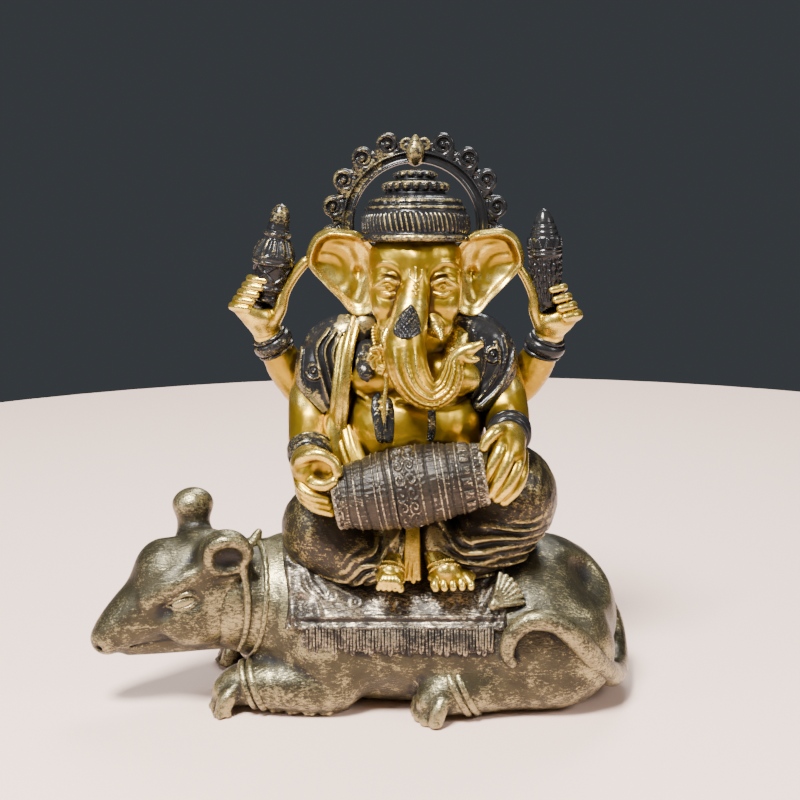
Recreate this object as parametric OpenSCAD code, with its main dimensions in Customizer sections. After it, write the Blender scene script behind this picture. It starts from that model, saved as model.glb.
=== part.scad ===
// Seated elephant-headed idol with four arms and a barrel drum, riding on a resting mouse.
// Millimetres. +X is the viewer's right, -Y is the front, +Z is up; z = 0 is the table.
// "left" and "right" are the idol's own sides, so its right arm lies towards -X.
// "near" and "far" are the mouse's sides: near faces the viewer at -Y.

/* [Placement] */
// Sideways place of the idol's middle line
idol_x = 7.4; // [5:0.1:10]
// Height of the seat, where the legs rest on the saddle cloth
seat_z = 20; // [19:0.1:21]
// Shift that brings the middle of the whole piece over the origin, along X
centre_x = -0.35; // [-2:0.05:2]
// Shift that brings the middle of the whole piece over the origin, along Y
centre_y = 1.7; // [-2:0.05:4]

/* [Mouse] */
// Half width of the mouse at its barrel
barrel_ry = 15; // [14:0.5:17]
// Half height of the mouse at its barrel
barrel_rz = 11.5; // [11:0.25:12.5]
// Thickness of the saddle cloth
cloth_t = 0.9; // [0.6:0.1:1.4]
// Number of strands in the fringe on each side
fringe_count = 26; // [12:1:30]
// Radius of the tail at its root
tail_root_r = 2.1; // [1.5:0.1:2.6]
// Radius of the tail at its tip
tail_tip_r = 0.8; // [0.6:0.1:1.2]

/* [Idol] */
// Radius of the crown's lowest rim
crown_r = 7.7; // [7:0.1:8.2]
// Inner radius of the halo arch
halo_inner_r = 8.9; // [8.5:0.1:9.5]
// Radial width of the halo's plain ring
halo_w = 2; // [1:0.1:2.4]
// Number of scrolls round the halo, either side of its finial
scroll_count = 5; // [3:1:6]
// Radius of each scroll
scroll_r = 1.75; // [1.2:0.05:2]

/* [Drum] */
// Length of the drum between its two skins
drum_len = 20.8; // [20:0.1:24]
// Radius of the drum at its belly
drum_r = 5.7; // [5:0.1:6.2]
// Radius of the drum's skins
drum_end_r = 4.1; // [3.6:0.1:4.6]
// Slope of the drum, higher at the idol's left hand
drum_slope = 9.9; // [0:0.1:15]

/* [Hidden] */
facets = 16;           // segments of the balls that are hulled together
fine = 20;             // segments of the larger balls
small = 10;            // segments of fingers, toes and beads
fit_gap = 0.05;        // room left where one piece is seated on another
high = 200;            // a block larger than the whole piece
gold = [0.85, 0.62, 0.18];
black_gold = [0.16, 0.15, 0.12];
bronze = [0.42, 0.38, 0.26];
silver_gold = [0.5, 0.46, 0.4];

// ---------- shared forms ----------

// A ball of radius r at p
module ball(p, r, n = facets) translate(p) sphere(r, $fn = n);

// An egg with three radii at p, turned
module egg(p, r, turn = [0, 0, 0], n = fine) translate(p) rotate(turn) scale(r) sphere(1, $fn = n);

// A soft limb through a list of [point, radius], grown by g
module limb(list, g = 0, n = facets)
    for (i = [0:len(list) - 2]) hull() {
        ball(list[i][0], list[i][1] + g, n);
        ball(list[i + 1][0], list[i + 1][1] + g, n);
    }

// Turns the Z axis to run from a to b, starting at a
module along(a, b) {
    d = b - a;
    translate(a) rotate([0, acos(d.z / norm(d)), atan2(d.y, d.x)]) children();
}

// A ring of radius r and wire radius w in the XY plane
module ring(r, w, n = 40) rotate_extrude($fn = n) translate([r, 0]) circle(w, $fn = 14);

module on_table() intersection() {
    children();
    translate([-high / 2, -high / 2, 0]) cube(high);
}

module on_seat() translate([idol_x, 0, seat_z]) children();

// ---------- mouse ----------

shoulder_at = [-8, 0.5, 11.8];
barrel_at = [8, 0.5, 10];
rump_at = [25, 0.5, 11.9];

module body_form(g = 0) {
    hull() {
        egg(shoulder_at, [10, 13.2, 12.6] + [g, g, g]);
        egg(barrel_at, [12, barrel_ry, barrel_rz] + [g, g, g]);
    }
    hull() {
        egg(barrel_at, [12, barrel_ry, barrel_rz] + [g, g, g]);
        egg(rump_at, [13, 14.6, 12.4] + [g, g, g]);
    }
}

module neck_form(g = 0) hull() {
    ball([-12, -0.5, 14.5], 9.6 + g);
    ball([-19.5, -3, 15.8], 8.4 + g);
}

module head_form(g = 0) {
    hull() {
        egg([-23.5, -4.5, 17.2], [7.4, 7.4, 9] + [g, g, g]);
        egg([-30, -6, 18.2], [4.4, 5.6, 5.6] + [g, g, g]);
        ball([-30, -7.6, 12.6], 3 + g);
    }
    hull() {
        egg([-30, -6.2, 16.6], [4.2, 5.4, 5.8] + [g, g, g]);
        ball([-37.8, -8.6, 11.4], 2.1 + g);
        ball([-30.5, -7.8, 11.6], 2.5 + g);
    }
}

fore_near = [[[-6, -8.8, 10], 5], [[-5.5, -9.4, 4.4], 4.6], [[-14, -9.4, 4.2], 3.8], [[-19.4, -8, 3.8], 3.5], [[-22.8, -7, 3], 2.4]];
fore_far = [[[-6, 9.2, 10], 5], [[-5.5, 10.8, 4.4], 4.6], [[-14, 11.5, 3.9], 3.7], [[-19.4, 11.2, 3.3], 3.4], [[-22.4, 11, 2.2], 2.1]];
hind_near = [[[27, -6.6, 9.2], 8.1], [[24, -8.2, 5], 4.8], [[15.5, -10.8, 4.1], 3.8], [[11, -12.4, 3.3], 3.2], [[9.2, -12.8, 2.3], 2.2]];
hind_far = [[[27, 8.2, 9], 7.6], [[24, 11, 4.6], 4.8], [[15.5, 12.4, 3.9], 3.7], [[11, 12.6, 3.2], 3.1], [[9.2, 12.6, 2.2], 2.1]];

module mouse_body() color(bronze) on_table() {
    body_form();
    neck_form();
}

module mouse_head() color(bronze) difference() {
    head_form();
    neck_form(fit_gap);
    body_form(fit_gap);
}

// A cupped ear: a flat egg, hollowed from the side that faces out
module cupped_ear(at, r, turn) translate(at) rotate(turn) difference() {
    egg([0, 0, 0], r, n = facets);
    egg([0, -r.y * 0.95, 0], [r.x * 0.72, r.y * 1.15, r.z * 0.72], n = facets);
}

module mouse_ear_near() color(bronze) difference() {
    cupped_ear([-20.2, -9.6, 24.4], [4, 2.6, 3.3], [8, -12, -8]);
    head_form(fit_gap);
    neck_form(fit_gap);
}

module mouse_ear_far() color(bronze) difference() {
    hull() {
        ball([-26, 0.5, 24], 2.6);
        egg([-26, 2.2, 28.6], [3, 2, 2.8]);
    }
    head_form(fit_gap);
    neck_form(fit_gap);
}

module mouse_eyes() color(bronze) difference() {
    for (side = [-1, 1]) egg([-26.4, -5.2 + side * 6.4, 17.2], [1.9, 1.1, 1.1], [0, 14, 0], facets);
    head_form(fit_gap);
}

cord_at = [-16.2, -1.9, 15.2];
module mouse_neck_cord() color(bronze) difference() {
    union() {
        along(cord_at, cord_at + [-7.5, -2.5, 1.3]) ring(8.9, 0.8, 32);
        egg(cord_at + [0.8, 0.6, 9.2], [0.9, 1, 1.5], n = facets);
    }
    neck_form(fit_gap);
    body_form(fit_gap);
    head_form(fit_gap);
}

module leg_node(list) color(bronze) on_table() difference() {
    limb(list);
    body_form(fit_gap);
}
module mouse_fore_leg_near() leg_node(fore_near);
module mouse_fore_leg_far() leg_node(fore_far);
module mouse_hind_leg_near() leg_node(hind_near);
module mouse_hind_leg_far() leg_node(hind_far);

module mouse_anklets() color(bronze) on_table() {
    for (leg = [fore_near, fore_far, hind_near, hind_far]) difference() {
        along((leg[2][0] + leg[3][0]) / 2, leg[3][0]) rotate_extrude($fn = 32) translate([2.9, -0.6]) square([1.2, 1.2]);
        limb([leg[2], leg[3]], fit_gap);
    }
}

tail_path = [
    [36.2, 6, 11], [38.6, 4.6, 7.2], [38.7, 0.2, 4.4], [37.6, -4.6, 3.8], [35.6, -9.2, 5.8],
    [33, -12.6, 9.4], [30.2, -14.8, 13.4], [26.8, -15.6, 16.2], [23.2, -15.8, 16.2],
    [20.4, -15.8, 13.4], [20, -15.6, 10], [21, -15.2, 7.8]
];
function tail_r(i) = tail_root_r + (tail_tip_r - tail_root_r) * i / (len(tail_path) - 1);

module mouse_tail() color(bronze) difference() {
    limb([for (i = [0:len(tail_path) - 1]) [tail_path[i], tail_r(i)]], n = small);
    body_form(fit_gap);
    limb(hind_near, fit_gap);
}

cloth_from = -11.5;
cloth_to = 20.5;
cloth_hem = 13.6;
fringe_hem = 10.6;

module cloth_band(low, top, g) intersection() {
    difference() {
        body_form(g);
        body_form(fit_gap);
        neck_form(fit_gap);
    }
    translate([cloth_from, -high / 2, low]) cube([cloth_to - cloth_from, high, top - low]);
}

module saddle_cloth() color(silver_gold) difference() {
    cloth_band(cloth_hem, 30, cloth_t);
    limb(fore_near, fit_gap);
    limb(hind_near, fit_gap);
    limb(fore_far, fit_gap);
    limb(hind_far, fit_gap);
}

module saddle_fringe() color(silver_gold) intersection() {
    cloth_band(fringe_hem, cloth_hem - fit_gap, cloth_t * 0.8);
    pitch = (cloth_to - cloth_from - 5) / fringe_count;
    for (i = [0:fringe_count - 1])
        translate([cloth_from + 2.5 + i * pitch, -high / 2, 0]) cube([pitch * 0.7, high, high]);
}

// ---------- idol, in its own frame: x = 0 on its middle line, z = 0 on the seat ----------

right_leg_list = [[[-7, 1, 6], 7.2], [[-12.6, -4.8, 5.4], 6.7], [[-5.5, -8.6, 1.8], 3.2], [[-3.8, -9.2, 2], 2.4]];
left_leg_list = [[[7, 1, 7], 7.2], [[13.4, -4, 10.8], 7.3], [[7.5, -8.4, 4.4], 3.8], [[4.2, -9.2, 2.6], 2.4]];

module legs_seat(g = 0) {
    translate([-idol_x, 0, -seat_z]) body_form(cloth_t + g);
}

module right_leg() on_seat() color(black_gold) difference() {
    limb(right_leg_list, n = fine);
    legs_seat(fit_gap);
    torso_form(fit_gap);
}

module left_leg() on_seat() color(black_gold) difference() {
    limb(left_leg_list, n = fine);
    legs_seat(fit_gap);
    torso_form(fit_gap);
    limb(right_leg_list, fit_gap);
}

// Toes in a row along a line from a to b
module toes(a, b, r, count = 5)
    for (i = [0:count - 1]) egg(a + (b - a) * i / (count - 1), [r, r * 1.5, r] * (1 - 0.05 * i), n = small);

module right_foot() on_seat() color(gold) difference() {
    union() {
        hull() {
            ball([-3.4, -10.2, 3], 1.8);
            egg([-3.6, -12.4, 0.4], [2.1, 2, 1.6], n = facets);
        }
        toes([-2, -13.9, 0], [-5.3, -13.5, -0.2], 0.75);
    }
    legs_seat(fit_gap);
    limb(right_leg_list, fit_gap);
    limb(left_leg_list, fit_gap);
}

module left_foot() on_seat() color(gold) difference() {
    union() {
        hull() {
            ball([3, -10.2, 3], 1.9);
            egg([5, -12.4, 0.4], [3.4, 2, 1.6], n = facets);
        }
        toes([2.4, -14.1, -0.2], [7.9, -13.4, 0], 0.8);
    }
    legs_seat(fit_gap);
    limb(left_leg_list, fit_gap);
    limb(right_leg_list, fit_gap);
}

module foot_anklets() on_seat() color(gold) difference() {
    for (side = [-1, 1]) translate([side * 3.2, -10.8, 3.1]) rotate([35, 0, 0]) ring(2.1, 0.4, 24);
    hull() { ball([-3.4, -10.2, 3], 1.85); egg([-3.6, -12.4, 0.4], [2.15, 2.05, 1.65], n = facets); }
    hull() { ball([3, -10.2, 3], 1.95); egg([5, -12.4, 0.4], [3.45, 2.05, 1.65], n = facets); }
    limb(right_leg_list, fit_gap);
    limb(left_leg_list, fit_gap);
}

module torso_form(g = 0) {
    hull() {
        egg([0, -2.2, 22.4], [10.4, 8.4, 9.6] + [g, g, g]);
        egg([0, 0.2, 12], [11, 8, 7] + [g, g, g]);
    }
    hull() {
        egg([0, -0.6, 29], [10.6, 6.4, 6.6] + [g, g, g]);
        egg([0, -0.6, 34.5], [7, 5, 3] + [g, g, g]);
    }
}

module torso() on_seat() color(gold) difference() {
    torso_form();
    legs_seat(fit_gap);
}

module waist_sash() on_seat() color(silver_gold) difference() {
    intersection() {
        torso_form(0.9);
        translate([-high / 2, -high / 2, 11.5]) cube([high, high, 4.2]);
    }
    torso_form(fit_gap);
    limb(right_leg_list, fit_gap);
    limb(left_leg_list, fit_gap);
    drum_form(fit_gap);
}

right_front = [[[-12.6, 0.4, 30.2], 4], [[-15.8, -1.4, 22.4], 3.7], [[-16, -4.8, 19.4], 3.2], [[-15, -9.8, 18.6], 2.5]];
left_front = [[[10.6, 0.6, 30.6], 4.2], [[12.6, -0.8, 26.4], 3.6], [[13.2, -3.6, 23], 3.4], [[13.3, -7.4, 21.9], 2.9], [[13, -10.4, 21.9], 2.3]];
right_rear = [[[-11.5, 3.6, 29], 3], [[-15.6, 4, 24.6], 3], [[-19.4, 2.6, 30], 2.7], [[-21.4, 1.2, 34.2], 2.3]];
left_rear = [[[10.5, 3.6, 30], 3], [[14.2, 4.2, 26], 3.1], [[17, 3.2, 28.4], 2.9], [[18.8, 1.8, 32], 2.5], [[19.8, 0.8, 34.6], 2.2]];
right_palm = [[[-15, -10.8, 18.3], 2.5], [[-13, -13.6, 16.9], 2.4]];
left_palm = [[[12.8, -11.2, 21.6], 2.4], [[11.8, -13.6, 19.4], 2.4]];

module right_front_arm() on_seat() color(gold) difference() {
    limb(right_front);
    torso_form(fit_gap);
    limb(right_leg_list, fit_gap);
}
module left_front_arm() on_seat() color(gold) difference() {
    limb(left_front);
    torso_form(fit_gap);
    limb(left_leg_list, fit_gap);
}
module right_rear_arm() on_seat() color(gold) difference() {
    limb(right_rear);
    torso_form(fit_gap);
    limb(right_front, fit_gap);
}
module left_rear_arm() on_seat() color(gold) difference() {
    limb(left_rear);
    torso_form(fit_gap);
    limb(left_front, fit_gap);
}

// Curled fingers: each is a limb of two links, set side by side from a to b
module fingers(a, b, bend, r, count = 4)
    for (i = [0:count - 1]) {
        root = a + (b - a) * i / (count - 1);
        limb([[root, r], [root + bend[0], r * 0.95], [root + bend[1], r * 0.85]], n = small);
    }

module right_front_hand() on_seat() color(gold) difference() {
    union() {
        limb(right_palm);
        fingers([-13.6, -15.2, 18.4], [-13.2, -14.4, 13.6], [[1.6, -1.4, -0.2], [3, -1.6, -0.4]], 0.8);
        limb([[[-14.4, -12, 20], 1], [[-12.4, -14.4, 20.2], 0.9], [[-10.6, -15.2, 19.2], 0.8]], n = small);
    }
    limb(right_front, fit_gap);
    limb(right_leg_list, fit_gap);
    drum_form(fit_gap);
}

module left_front_hand() on_seat() color(gold) difference() {
    union() {
        limb(left_palm);
        fingers([12.8, -15.2, 20.6], [11.8, -15, 15.6], [[-1.8, -1.4, -0.4], [-3, -1.8, -1]], 0.85);
        limb([[[12.2, -12.6, 22.4], 1], [[10.6, -14.2, 22.6], 0.9], [[9, -14.4, 21.6], 0.8]], n = small);
    }
    limb(left_front, fit_gap);
    limb(left_leg_list, fit_gap);
    drum_form(fit_gap);
}

module right_rear_hand() on_seat() color(gold) difference() {
    union() {
        limb([[[-21.6, 0.8, 35], 2.1], [[-22.4, 0, 38], 2.5]]);
        fingers([-24.8, -1, 38.6], [-21.8, -1.6, 41.8], [[0.8, -1.2, 0.4], [1.9, -1, 0.4]], 0.75);
        limb([[[-20.4, -0.4, 38.4], 1], [[-18, -0.2, 41], 0.8], [[-16.6, -0.2, 44.4], 0.6]], n = small);
    }
    limb(right_rear, fit_gap);
    vase_form(fit_gap);
}

module left_rear_hand() on_seat() color(gold) difference() {
    union() {
        limb([[[20, 0.7, 35], 2.1], [[21, 0, 37.4], 2.4]]);
        fingers([24.4, -1, 38.4], [21.6, -1.6, 41.2], [[-0.6, -1.2, 0.4], [-1.6, -1, 0.4]], 0.75);
        limb([[[19, -0.4, 37.4], 1], [[16.6, -0.2, 40.4], 0.8], [[15.6, -0.2, 44], 0.6]], n = small);
    }
    limb(left_rear, fit_gap);
    mace_form(fit_gap);
}

module cuff(a, b, r, w) along(a, b) rotate_extrude($fn = 40) translate([r - 0.7, -w / 2]) square([1.4, w]);

module front_bracelets() on_seat() color(black_gold) difference() {
    union() {
        cuff([-15.2, -8.6, 18.7], [-15, -9.8, 18.6], 3.1, 1.5);
        cuff([13.2, -8.8, 21.9], [13, -10.2, 21.9], 3.1, 1.5);
    }
    limb(right_front, fit_gap);
    limb(left_front, fit_gap);
    limb(left_leg_list, fit_gap);
    limb(right_leg_list, fit_gap);
    drum_form(fit_gap);
    limb(right_palm, fit_gap);
    limb(left_palm, fit_gap);
}

module rear_bracelets() on_seat() color(black_gold) difference() {
    union() {
        cuff([-20.8, 1.6, 33], [-21.4, 1.2, 34.2], 3, 1.5);
        cuff([19.2, 1.4, 33], [19.7, 1, 34.2], 3, 1.5);
    }
    limb(right_rear, fit_gap);
    limb(left_rear, fit_gap);
}

// Outline of the vase, radius by height, from its foot to the tip of its lid
vase_profile = [[0, 0], [1.7, 0], [2.1, 2.2], [2.6, 5.4], [3.1, 7], [3, 8], [2, 9.6], [1.5, 10.4], [1.5, 11.2], [1.1, 12.6], [0, 14]];
vase_foot = [-21, -0.2, 39.6];
vase_top = [-19.3, -0.2, 53.4];
mace_profile = [[0, 0], [1.5, 0], [1.9, 1.4], [2.3, 4], [2.5, 7], [2.3, 9.6], [1.9, 11.4], [1.3, 13], [0, 14.4]];
mace_foot = [18.9, -0.2, 38.9];
mace_top = [18.5, -0.2, 53.3];

module lathe(profile, g = 0) rotate_extrude($fn = 36) polygon(concat(
    [[0, profile[0].y - g]],
    [for (i = [1:len(profile) - 2]) profile[i] + [g, 0]],
    [[0, profile[len(profile) - 1].y + g]]));
module vase_form(g = 0) along(vase_foot, vase_top) lathe(vase_profile, g);
module mace_form(g = 0) along(mace_foot, mace_top) lathe(mace_profile, g);
module ritual_vase() on_seat() color(black_gold) vase_form();
module mace() on_seat() color(black_gold) mace_form();

module skull_form(g = 0) hull() {
    egg([0, -2.4, 43.6], [7, 6.4, 6.2] + [g, g, g]);
    egg([0, -3.4, 39.4], [5.4, 4.8, 4.4] + [g, g, g]);
}

trunk_path = [
    [-0.4, -7.4, 41.4], [-1.2, -9.6, 38.6], [-1.6, -11.4, 35], [-1, -12.4, 31.8], [0.8, -12.9, 29.4],
    [2.4, -13, 28.5], [4, -12.8, 29.5], [5, -12.6, 31.6], [5.4, -12.6, 33.4], [6.6, -12.6, 34.4], [8, -12.6, 34.8]
];
trunk_r = [2.6, 2.8, 3, 2.8, 2.3, 2, 1.8, 1.5, 1.2, 1, 1.2];
trunk_list = [for (i = [0:len(trunk_path) - 1]) [trunk_path[i], trunk_r[i]]];

module head() on_seat() color(gold) difference() {
    skull_form();
    torso_form(fit_gap);
}
module trunk() on_seat() color(gold) difference() {
    limb(trunk_list, n = small);
    skull_form(fit_gap);
    torso_form(fit_gap);
}
module tusks() on_seat() color(gold) difference() {
    union() {
        limb([[[-3.6, -7.6, 38.2], 0.9], [[-4.4, -9.4, 36.2], 0.7], [[-4.6, -9.8, 35.6], 0.5]], n = small);
        limb([[[3.2, -7.6, 38], 0.9], [[3.6, -9.2, 36.4], 0.7], [[3.7, -9.6, 35.8], 0.5]], n = small);
    }
    skull_form(fit_gap);
    limb(trunk_list, fit_gap);
    torso_form(fit_gap);
}

// One ear, drawn on the +X side: a bowl between a rolled rim and the jaw
module ear_form() difference() {
    hull() {
        ball([6.4, -2, 47], 1.2);
        ball([11.2, -1.2, 48.4], 1.5);
        ball([14.2, -1, 45.4], 1.3);
        ball([12.6, -1.2, 42], 1.1);
        ball([8.6, -2.4, 39.4], 1);
        ball([6.2, -2.6, 41], 1.1);
    }
    hull() {
        ball([8.4, -3.2, 46], 1.3);
        ball([11, -2.8, 46.4], 1.2);
        ball([11.6, -2.8, 43.4], 1);
        ball([8.8, -3.6, 41.8], 0.9);
    }
}
module left_ear() on_seat() color(gold) difference() {
    ear_form();
    skull_form(fit_gap);
}
module right_ear() on_seat() color(gold) difference() {
    mirror([1, 0, 0]) ear_form();
    skull_form(fit_gap);
}

module forehead_mark() on_seat() color(gold) difference() {
    union() {
        egg([0, -8.6, 44.4], [0.6, 0.8, 1.3], n = small);
        for (side = [-1, 1]) egg([side * 0.9, -8.5, 44.8], [0.4, 0.7, 1], [0, side * 24, 0], small);
        ball([0, -8.7, 42.8], 0.6, small);
    }
    skull_form(fit_gap);
    limb(trunk_list, fit_gap);
}

module trunk_plaque() on_seat() color(black_gold) difference() {
    egg([-1.4, -12.5, 37.6], [1.9, 1.1, 2.6], [-20, 0, 0], facets);
    limb(trunk_list, fit_gap);
    skull_form(fit_gap);
}

// A pleated cape over one shoulder, drawn on the +X side
module shawl_form() hull() {
    ball([9, -1.4, 34.6], 2.6);
    ball([12, 0.2, 31.4], 4.6);
    ball([12.6, -0.6, 27.6], 4.4);
    ball([9.8, -3.6, 27], 3.4);
}
module left_shawl() on_seat() color(black_gold) difference() {
    shawl_form();
    torso_form(fit_gap);
    limb(left_front, fit_gap);
    limb(left_rear, fit_gap);
    skull_form(fit_gap);
    limb(trunk_list, fit_gap);
}
module right_shawl() on_seat() color(black_gold) difference() {
    mirror([1, 0, 0]) shawl_form();
    torso_form(fit_gap);
    limb(right_front, fit_gap);
    limb(right_rear, fit_gap);
    skull_form(fit_gap);
}

// Bead row on a hanging curve from the right shoulder to the left
bead_count = 18;
function bead_at(t) = let (x = 7.4 * cos(180 - 180 * t), drop = sin(180 * t))
    [x, -5.6 - 2.9 * drop, 34.4 - 8.6 * drop];
module necklace() on_seat() color(gold) difference() {
    for (i = [0:bead_count]) ball(bead_at(i / bead_count), 0.8, small);
    torso_form(fit_gap);
    limb(trunk_list, fit_gap);
    skull_form(fit_gap);
    shawl_form();
    mirror([1, 0, 0]) shawl_form();
}

module belly_pendants() on_seat() color(black_gold) difference() {
    union() {
        limb([[[-5.6, -9.6, 29], 1], [[-4.6, -10, 25], 1.3], [[-4.4, -9.6, 21.4], 0.8]], n = small);
        limb([[[2, -9.8, 26], 0.6], [[2, -10.2, 23.6], 0.9], [[2, -9.8, 21.4], 0.6]], n = small);
    }
    torso_form(fit_gap);
    limb(trunk_list, fit_gap);
    drum_form(fit_gap);
}

module flower_brooch() on_seat() color(gold) difference() {
    translate([-5, -9.6, 32]) rotate([80, 0, -10]) {
        for (i = [0:5]) rotate(60 * i) translate([1, 0, 0]) sphere(0.7, $fn = small);
        sphere(0.8, $fn = small);
    }
    torso_form(fit_gap);
    limb(trunk_list, fit_gap);
}

// Outline of the crown, radius by height above its rim
crown_profile = [
    [0, 0], [crown_r, 0], [crown_r, 1], [crown_r - 0.3, 1.2], [crown_r - 0.5, 4.2], [crown_r - 1, 4.6],
    [crown_r - 1.2, 5.4], [crown_r - 1.7, 6.2], [4.3, 6.8], [4.2, 7.6], [4.5, 7.8], [4.5, 8.6],
    [2.2, 9], [2.1, 9.6], [2.4, 9.8], [2.4, 10.4], [0, 10.6]
];
crown_at = [0, -1, 48.4];
crown_lean = -4;
module crown() on_seat() color(black_gold) difference() {
    translate(crown_at) rotate([crown_lean, 0, 0]) rotate_extrude($fn = 48) polygon(crown_profile);
    skull_form(fit_gap);
}

halo_at = [0, 3.6, 50.4];
halo_t = 1.8;
halo_outer_r = halo_inner_r + halo_w;
halo_start = -6;
module halo_ring() on_seat() color(black_gold) difference() {
    translate(halo_at) rotate([90, 0, 0]) rotate(halo_start)
        rotate_extrude(angle = 180 - 2 * halo_start, $fn = 72)
            translate([halo_inner_r, -halo_t / 2]) square([halo_w, halo_t]);
    torso_form(fit_gap);
    skull_form(fit_gap);
    crown_keepout();
}
module crown_keepout() translate(crown_at) rotate([crown_lean, 0, 0]) cylinder(r = crown_r + fit_gap, h = 5, $fn = 48);

scroll_sweep = 102;     // degrees from the finial to one step past the last scroll
scroll_step = scroll_sweep / (scroll_count + 0.2);
module scroll_at(i, side) translate(halo_at) rotate([90, 0, 0])
    rotate(90 - side * scroll_step * (i + 1)) translate([halo_outer_r + scroll_r * 0.45, 0, 0]) children();
module halo_scrolls() on_seat() color(black_gold) difference() {
    for (side = [-1, 1]) for (i = [0:scroll_count - 1]) scroll_at(i, side)
        cylinder(r = scroll_r * (i > 3 ? 0.85 : 1), h = halo_t * 0.9, center = true, $fn = 28);
    translate(halo_at) rotate([90, 0, 0]) cylinder(r = halo_outer_r + fit_gap, h = 9, center = true, $fn = 72);
}

module halo_finial() on_seat() color(black_gold) difference() {
    translate(halo_at + [0, -0.3, halo_outer_r]) {
        egg([0, 0, 0.4], [1.7, 1.1, 1.9], n = facets);
        for (side = [-1, 1]) ball([side * 1.1, 0, 0.9], 0.9, small);
    }
    translate(halo_at) rotate([90, 0, 0]) cylinder(r = halo_outer_r + fit_gap, h = 9, center = true, $fn = 72);
}

// ---------- drum ----------

drum_at = [-0.6, -14, 15.5];
// Radius of the shell at a share t of its length from the middle, from -1 to 1
function drum_radius(t) = drum_end_r + (drum_r - drum_end_r) * (1 - t * t);
module drum_axis() translate(drum_at) rotate([0, 90 - drum_slope, 0]) children();
module barrel_form(g = 0) rotate_extrude($fn = 48) polygon(concat(
    [[0, -drum_len / 2]],
    [for (t = [-1:0.125:1]) [drum_radius(t) + g, t * drum_len / 2]],
    [[0, drum_len / 2]]));
skin_t = 0.5;
module drum_form(g = 0) drum_axis() {
    barrel_form(g + 0.35);
    cylinder(r = drum_end_r + 0.35 + g, h = drum_len + 2 * skin_t + 2 * g, center = true, $fn = 48);
}

module drum_shell() on_seat() color(silver_gold) drum_axis() barrel_form();

module drum_skins() on_seat() color(silver_gold) drum_axis()
    for (end = [-1, 1]) translate([0, 0, end * (drum_len + skin_t) / 2])
        cylinder(r = drum_end_r + 0.2, h = skin_t, center = true, $fn = 48);

hoops = [-0.92, -0.62, -0.42, -0.14, 0.14, 0.38, 0.62, 0.9];
module drum_hoops() on_seat() color(silver_gold) drum_axis()
    for (t = hoops) translate([0, 0, t * drum_len / 2 - 0.25])
        rotate_extrude($fn = 48) translate([drum_radius(t) + 0.02, 0]) square([0.3, 0.5]);

// ---------- the whole piece ----------

module place() translate([centre_x, centre_y, 0]) children();

place() {
    mouse_body();
    mouse_head();
    mouse_ear_near();
    mouse_ear_far();
    mouse_eyes();
    mouse_neck_cord();
    mouse_fore_leg_near();
    mouse_fore_leg_far();
    mouse_hind_leg_near();
    mouse_hind_leg_far();
    mouse_anklets();
    mouse_tail();
    saddle_cloth();
    saddle_fringe();
    right_leg();
    left_leg();
    right_foot();
    left_foot();
    foot_anklets();
    torso();
    waist_sash();
    right_front_arm();
    left_front_arm();
    right_front_hand();
    left_front_hand();
    front_bracelets();
    right_rear_arm();
    left_rear_arm();
    right_rear_hand();
    left_rear_hand();
    rear_bracelets();
    ritual_vase();
    mace();
    head();
    trunk();
    tusks();
    right_ear();
    left_ear();
    forehead_mark();
    trunk_plaque();
    right_shawl();
    left_shawl();
    necklace();
    belly_pendants();
    flower_brooch();
    crown();
    halo_ring();
    halo_scrolls();
    halo_finial();
    drum_shell();
    drum_skins();
    drum_hoops();
}
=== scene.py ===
"""Looks of a small cast resin idol: a seated elephant-headed deity with a drum, on a resting mouse.

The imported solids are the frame. Every sculpted piece here stands for one or more of them, in the same
place and at the same size. Shapes are worked out in millimetres, either as a surface of two parameters
or, where flesh runs into flesh, as a blend of rounded masses closed by a net of quads.
"""

from __future__ import annotations

import logging
import math
from dataclasses import dataclass, field
from enum import Enum
from typing import Callable, Optional, Sequence, Union

import bpy
import numpy as np
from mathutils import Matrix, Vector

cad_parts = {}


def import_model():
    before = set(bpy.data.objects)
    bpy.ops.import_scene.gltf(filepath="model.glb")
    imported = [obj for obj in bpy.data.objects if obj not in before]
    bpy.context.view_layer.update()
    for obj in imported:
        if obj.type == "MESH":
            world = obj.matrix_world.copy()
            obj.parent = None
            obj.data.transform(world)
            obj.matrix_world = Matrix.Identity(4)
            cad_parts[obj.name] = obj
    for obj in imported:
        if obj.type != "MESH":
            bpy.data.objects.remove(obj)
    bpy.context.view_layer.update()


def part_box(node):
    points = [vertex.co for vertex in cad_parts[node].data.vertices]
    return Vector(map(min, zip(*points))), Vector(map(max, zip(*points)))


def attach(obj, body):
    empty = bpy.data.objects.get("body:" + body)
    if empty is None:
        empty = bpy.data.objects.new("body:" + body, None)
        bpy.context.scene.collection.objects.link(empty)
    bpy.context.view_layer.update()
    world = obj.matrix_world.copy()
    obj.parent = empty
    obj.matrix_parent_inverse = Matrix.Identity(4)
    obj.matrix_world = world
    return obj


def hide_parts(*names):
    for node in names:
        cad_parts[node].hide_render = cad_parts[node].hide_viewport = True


Array = np.ndarray
Shape = Callable[[Array], Array]
Point = Sequence[float]
Surface = tuple[Array, Array]
Relief = Callable[[Array, Array], Array]

LOG = logging.getLogger("idol")
MM = 0.001
TAU = 2.0 * math.pi


# ---------------------------------------------------------------- small sums


def unit(vector: Array) -> Array:
    """Vectors at length one, along the last axis."""
    vector = np.asarray(vector, float)
    return vector / np.maximum(np.linalg.norm(vector, axis=-1, keepdims=True), 1e-12)


def ease(value: Array, low: float, high: float) -> Array:
    """A smooth step: 0 below low, 1 above high, 3t^2 - 2t^3 between."""
    share = np.clip((np.asarray(value, float) - low) / (high - low), 0.0, 1.0)
    return share * share * (3.0 - 2.0 * share)


def hump(value: Array, centre: float, width: float) -> Array:
    """A bell: exp of minus the square of the distance from centre over width."""
    return np.exp(-(((value - centre) / width) ** 2))


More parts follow.
